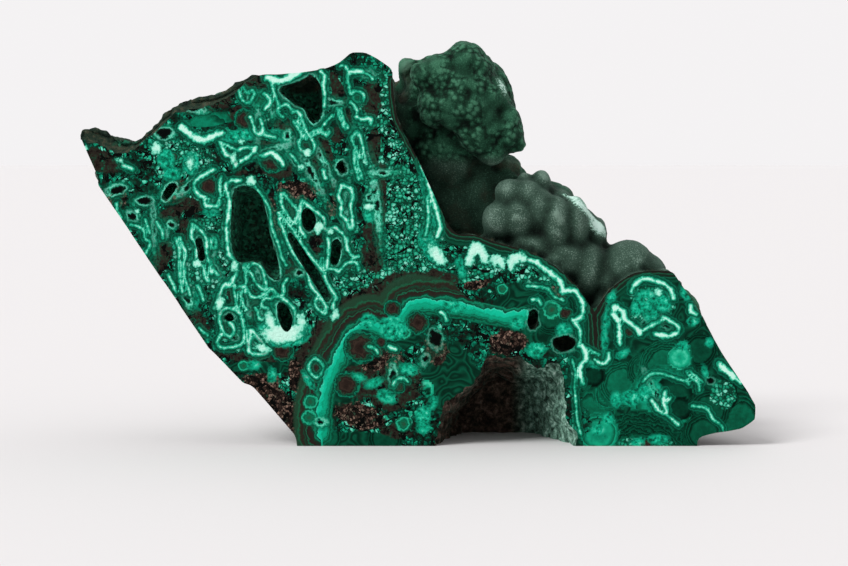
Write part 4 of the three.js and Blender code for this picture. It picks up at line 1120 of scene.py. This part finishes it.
def crust_colour(n, place, grain, broad, height, lobe_colour_with_painted_light):
    """The crown's broken stone, and over it every growth and hollow with its own tones; the grapes, the lobe
    and the back get painted shade, lighter on lumps and darker in creases.
    """
    lobe, velvet, cave = painted(n, "growth", 3)
    vug, back, wall = painted(n, "hollows", 3)
    noise = n("TexNoise", {"Vector": place, "Scale": 0.5, "Detail": 7.0, "Roughness": 0.75})
    rocky = n("MapRange", [noise, 0.3, 0.7])
    mottle = n("MapRange", [broad, 0.5, 0.62, 0, 0.8])
    in_matrix = n("Math", [back, mottle], operation="MULTIPLY")
    crown = tones(n, rocky, ["#070b09", "#141c18", "#1f2f26", "#2e3a2c", "#4a4438", "#27604a"])
    return layered(n, crown, [
        # painted shade: the grapes lighter on their lumps and darker in their creases
        (velvet, tones(n, height, ["#0d1511", "#17241d", "#22332a", "#2f4439", "#3e5549", "#6d8578"])),
        (lobe, lobe_colour_with_painted_light),
        # painted shade: the back likewise lighter on lumps and darker in creases
        (back, tones(n, height, ["#06100b", "#0d2618", "#143c29", "#20543c", "#3a7055"])),
        (in_matrix, tones(n, grain, ["#2a211c", "#3a2d26", "#4a3a30", "#3a4032"])),
        (cave, tones(n, rocky, ["#040303", "#0b0908", "#221a15", "#42342c", "#65524a", "#54695a"])),
        (wall, tones(n, rocky, ["#0a110e", "#22332a", "#446456", "#729c8a", "#acd2c2", "#e8f4ee"])),
        (vug, tones(n, grain, ["#0a1c14", "#14382a", "#1c5440", "#1a6a4d", "#3a9472"])),
    ])


def broken_layer(n, swell):
    """Pale stone where crust has broken off."""
    outside = ragged(n, painted(n, "broken"), swell, 5.0)
    return profile(n, outside, [
        (-0.5, "#d2efe4"), (0.0, "#9cc8b6"), (0.25, "#6a9480", 0.9), (0.5, "#2f4439", 0.5),
        (1.0, "#2f4439", 0.0),
    ])


def velvety_crust():
    """Malachite's natural skin: dull velvet on the grapes, lively in the vugs and earthy where it broke."""
    material, n, place = new_material("malachite, natural velvety crust")
    speck = n("TexNoise", {"Vector": place, "Scale": 1.6, "Detail": 5.0, "Roughness": 0.75})
    broad = n("TexNoise", {"Vector": place, "Scale": 0.16, "Detail": 3.0})
    swell = n("Math", [speck, 0.5], operation="SUBTRACT")
    grain, depth, _ = grains(n, place, 0.7)
    knobs, knobbly = lobe_knobs(n, place, painted(n, "growth", 3)[0], broad)
    # painted light and shade by height: lumps lighter, creases darker
    height = painted_shade_and_speckle(n, place, swell)
    colour = crust_colour(n, place, grain, broad, height, painted_lobe_light(n, knobs, knobbly, height))
    look = {
        "Base Color": layered(n, colour, [broken_layer(n, swell)]), "Roughness": 0.72,
        "Sheen Weight": 0.12, "Sheen Roughness": 0.4, "Sheen Tint": linear("#9fd8be"),
        "Specular IOR Level": 0.06,
    }
    bumps = n("Math", [knobbly, knobs], operation="MULTIPLY")
    fine = n("Math", [depth, speck], operation="ADD")
    relief = n("Math", [bumps, 4.0, fine], operation="MULTIPLY_ADD")
    finish_material(n, look, relief, 0.14)
    return material


def paper(name, colour):
    """Matt paper for the studio's floor."""
    material = bpy.data.materials.new(name)
    material.use_nodes = True
    shader = material.node_tree.nodes["Principled BSDF"]
    shader.inputs["Base Color"].default_value = colour
    shader.inputs["Roughness"].default_value = 0.9
    return material


def unwrap(stone, flat):
    """Lays the face in the upper part of the map at full size, and everything else below it."""
    mesh = stone.data
    rest = np.ones(len(mesh.polygons), bool)
    rest[flat] = False
    mesh.uv_layers.active = mesh.uv_layers.new(name=BAKE_MAP)
    select_in_edit(stone, "polygons", rest)
    bpy.ops.uv.smart_project(angle_limit=math.radians(66), island_margin=0.002)
    bpy.ops.object.mode_set(mode="OBJECT")
    on_rest = np.repeat(rest, read(mesh.polygons, "loop_total", np.int32))
    plan = vertex_places(stone)[read(mesh.loops, "vertex_index", np.int32)][:, [0, 2]]
    low, high = plan[~on_rest].min(0), plan[~on_rest].max(0)
    corner, size = FACE_ON_MAP
    face_uv = (plan - low) / (high - low) * size + corner
    corner, size = REST_ON_MAP
    rest_uv = read(mesh.uv_layers[BAKE_MAP].uv, "vector", width=2) * size + corner
    laid = np.where(on_rest[:, None], rest_uv, face_uv)
    mesh.uv_layers[BAKE_MAP].uv.foreach_set("vector", laid.astype(np.float32).ravel())


def dress(stone, flat, sizes):
    """Gives the polished face and the natural crust their materials."""
    stone.data.materials.clear()
    for material in (velvety_crust(), polished_malachite(sizes)):
        stone.data.materials.append(material)
    index = np.zeros(len(stone.data.polygons), np.int32)
    index[flat] = 1
    stone.data.polygons.foreach_set("material_index", index)
    only(stone)
    bpy.ops.object.shade_smooth_by_angle(angle=math.radians(40))


class MalachiteSizes(bpy.types.PropertyGroup):
    """What a user would change about the stone and its studio"""

    facet: FloatProperty(
        name="Crust Facet", description="Size of the small faces that the natural crust is made of",
        default=0.9 * MM, min=0.5 * MM, max=3 * MM, unit="LENGTH",
    )
    face_grid: FloatProperty(
        name="Face Grid", description="Size of the small faces that the polished face is made of",
        default=0.6 * MM, min=0.4 * MM, max=3 * MM, unit="LENGTH",
    )
    pale: FloatVectorProperty(
        name="Pale Seams", description="Colour of the palest seams of malachite",
        subtype="COLOR", size=4, default=linear("#c4f4e2"), min=0, max=1,
    )
    floor: FloatVectorProperty(
        name="Floor", description="Colour of the studio floor",
        subtype="COLOR", size=4, default=linear("#dfdddd"), min=0, max=1,
    )


class MALACHITE_OT_stone(bpy.types.Operator):
    """Grow the stone's crust, saw its face and foot, and give it its colours"""

    bl_idname = "malachite.stone"
    bl_label = "Stone"
    bl_options = {"REGISTER", "UNDO"}

    def execute(self, context):
        sizes = context.scene.malachite
        stone = rough_stock(context, sizes)
        break_crown(stone)
        grow_crust(stone)
        take_off(stone, face_saw(sizes.face_grid))
        take_off(stone, foot_saw())
        on_face = vertex_places(stone)[:, 1] < FACE_Y / MM + 0.01
        flat, rims, outer = face_and_rims(stone, on_face)
        mark_raised(stone)
        paint_face(stone, on_face, rims)
        paint_crust(stone, outer)
        unwrap(stone, flat)
        dress(stone, flat, sizes)
        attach(stone, "root")
        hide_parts(NODE)
        return {"FINISHED"}


def light_room(scene):
    """A pale room that is brighter above than below, with one soft main light."""
    scene.world = bpy.data.worlds.new("room")
    scene.world.use_nodes = True
    tree = scene.world.node_tree
    sky = tree.nodes["Background"]
    sky.inputs["Color"].default_value = linear("#fbf9fa")
    rise = add(tree, "SeparateXYZ", [add(tree, "TexCoord", output=0)], output=1)
    strength = add(tree, "MapRange", [rise, -0.4, 0.5, ROOM_LIGHT[0], ROOM_LIGHT[1]])
    tree.links.new(strength, sky.inputs["Strength"])
    bpy.ops.object.light_add(type="SUN", rotation=KEY_FROM.to_track_quat("Z", "Y").to_euler())
    key = bpy.context.object
    key.name = "key"
    key.data.energy = KEY_STRENGTH
    key.data.angle = KEY_WIDTH


class MALACHITE_OT_studio(bpy.types.Operator):
    """Set the stone on a pale floor in soft light, with the camera in front of it"""

    bl_idname = "malachite.studio"
    bl_label = "Studio"
    bl_options = {"REGISTER", "UNDO"}

    def execute(self, context):
        scene = context.scene
        scene.view_settings.view_transform = "Standard"
        away = Vector((0, -math.cos(CAMERA_RISE), math.sin(CAMERA_RISE))) * CAMERA_AWAY
        bpy.ops.object.camera_add(location=CAMERA_AIM + away, rotation=(math.radians(90) - CAMERA_RISE, 0, 0))
        scene.camera = context.object
        scene.camera.data.lens = 100
        scene.camera.data.sensor_width = 36
        bpy.ops.mesh.primitive_plane_add(size=FLOOR_SIZE, location=(0, 0, 0))
        floor = context.object
        floor.name = "floor"
        floor.data.materials.append(paper("white paper", scene.malachite.floor))
        light_room(scene)
        return {"FINISHED"}


class MALACHITE_PT_panel(bpy.types.Panel):
    """Builds the malachite specimen step by step"""

    bl_idname = "MALACHITE_PT_panel"
    bl_label = "Malachite Specimen"
    bl_space_type = "VIEW_3D"
    bl_region_type = "UI"
    bl_category = "Malachite"

    def draw(self, context):
        column = self.layout.column()
        for name in MalachiteSizes.__annotations__:
            column.prop(context.scene.malachite, name)
        for operator in (MALACHITE_OT_stone, MALACHITE_OT_studio):
            column.operator(operator.bl_idname)


CLASSES = (MalachiteSizes, MALACHITE_OT_stone, MALACHITE_OT_studio, MALACHITE_PT_panel)


def register():
    for cls in CLASSES:
        bpy.utils.register_class(cls)
    bpy.types.Scene.malachite = PointerProperty(type=MalachiteSizes)


def unregister():
    del bpy.types.Scene.malachite
    for cls in reversed(CLASSES):
        bpy.utils.unregister_class(cls)


def main():
    register()
    bpy.ops.malachite.stone()
    bpy.ops.malachite.studio()


if __name__ == "__main__":
    main()
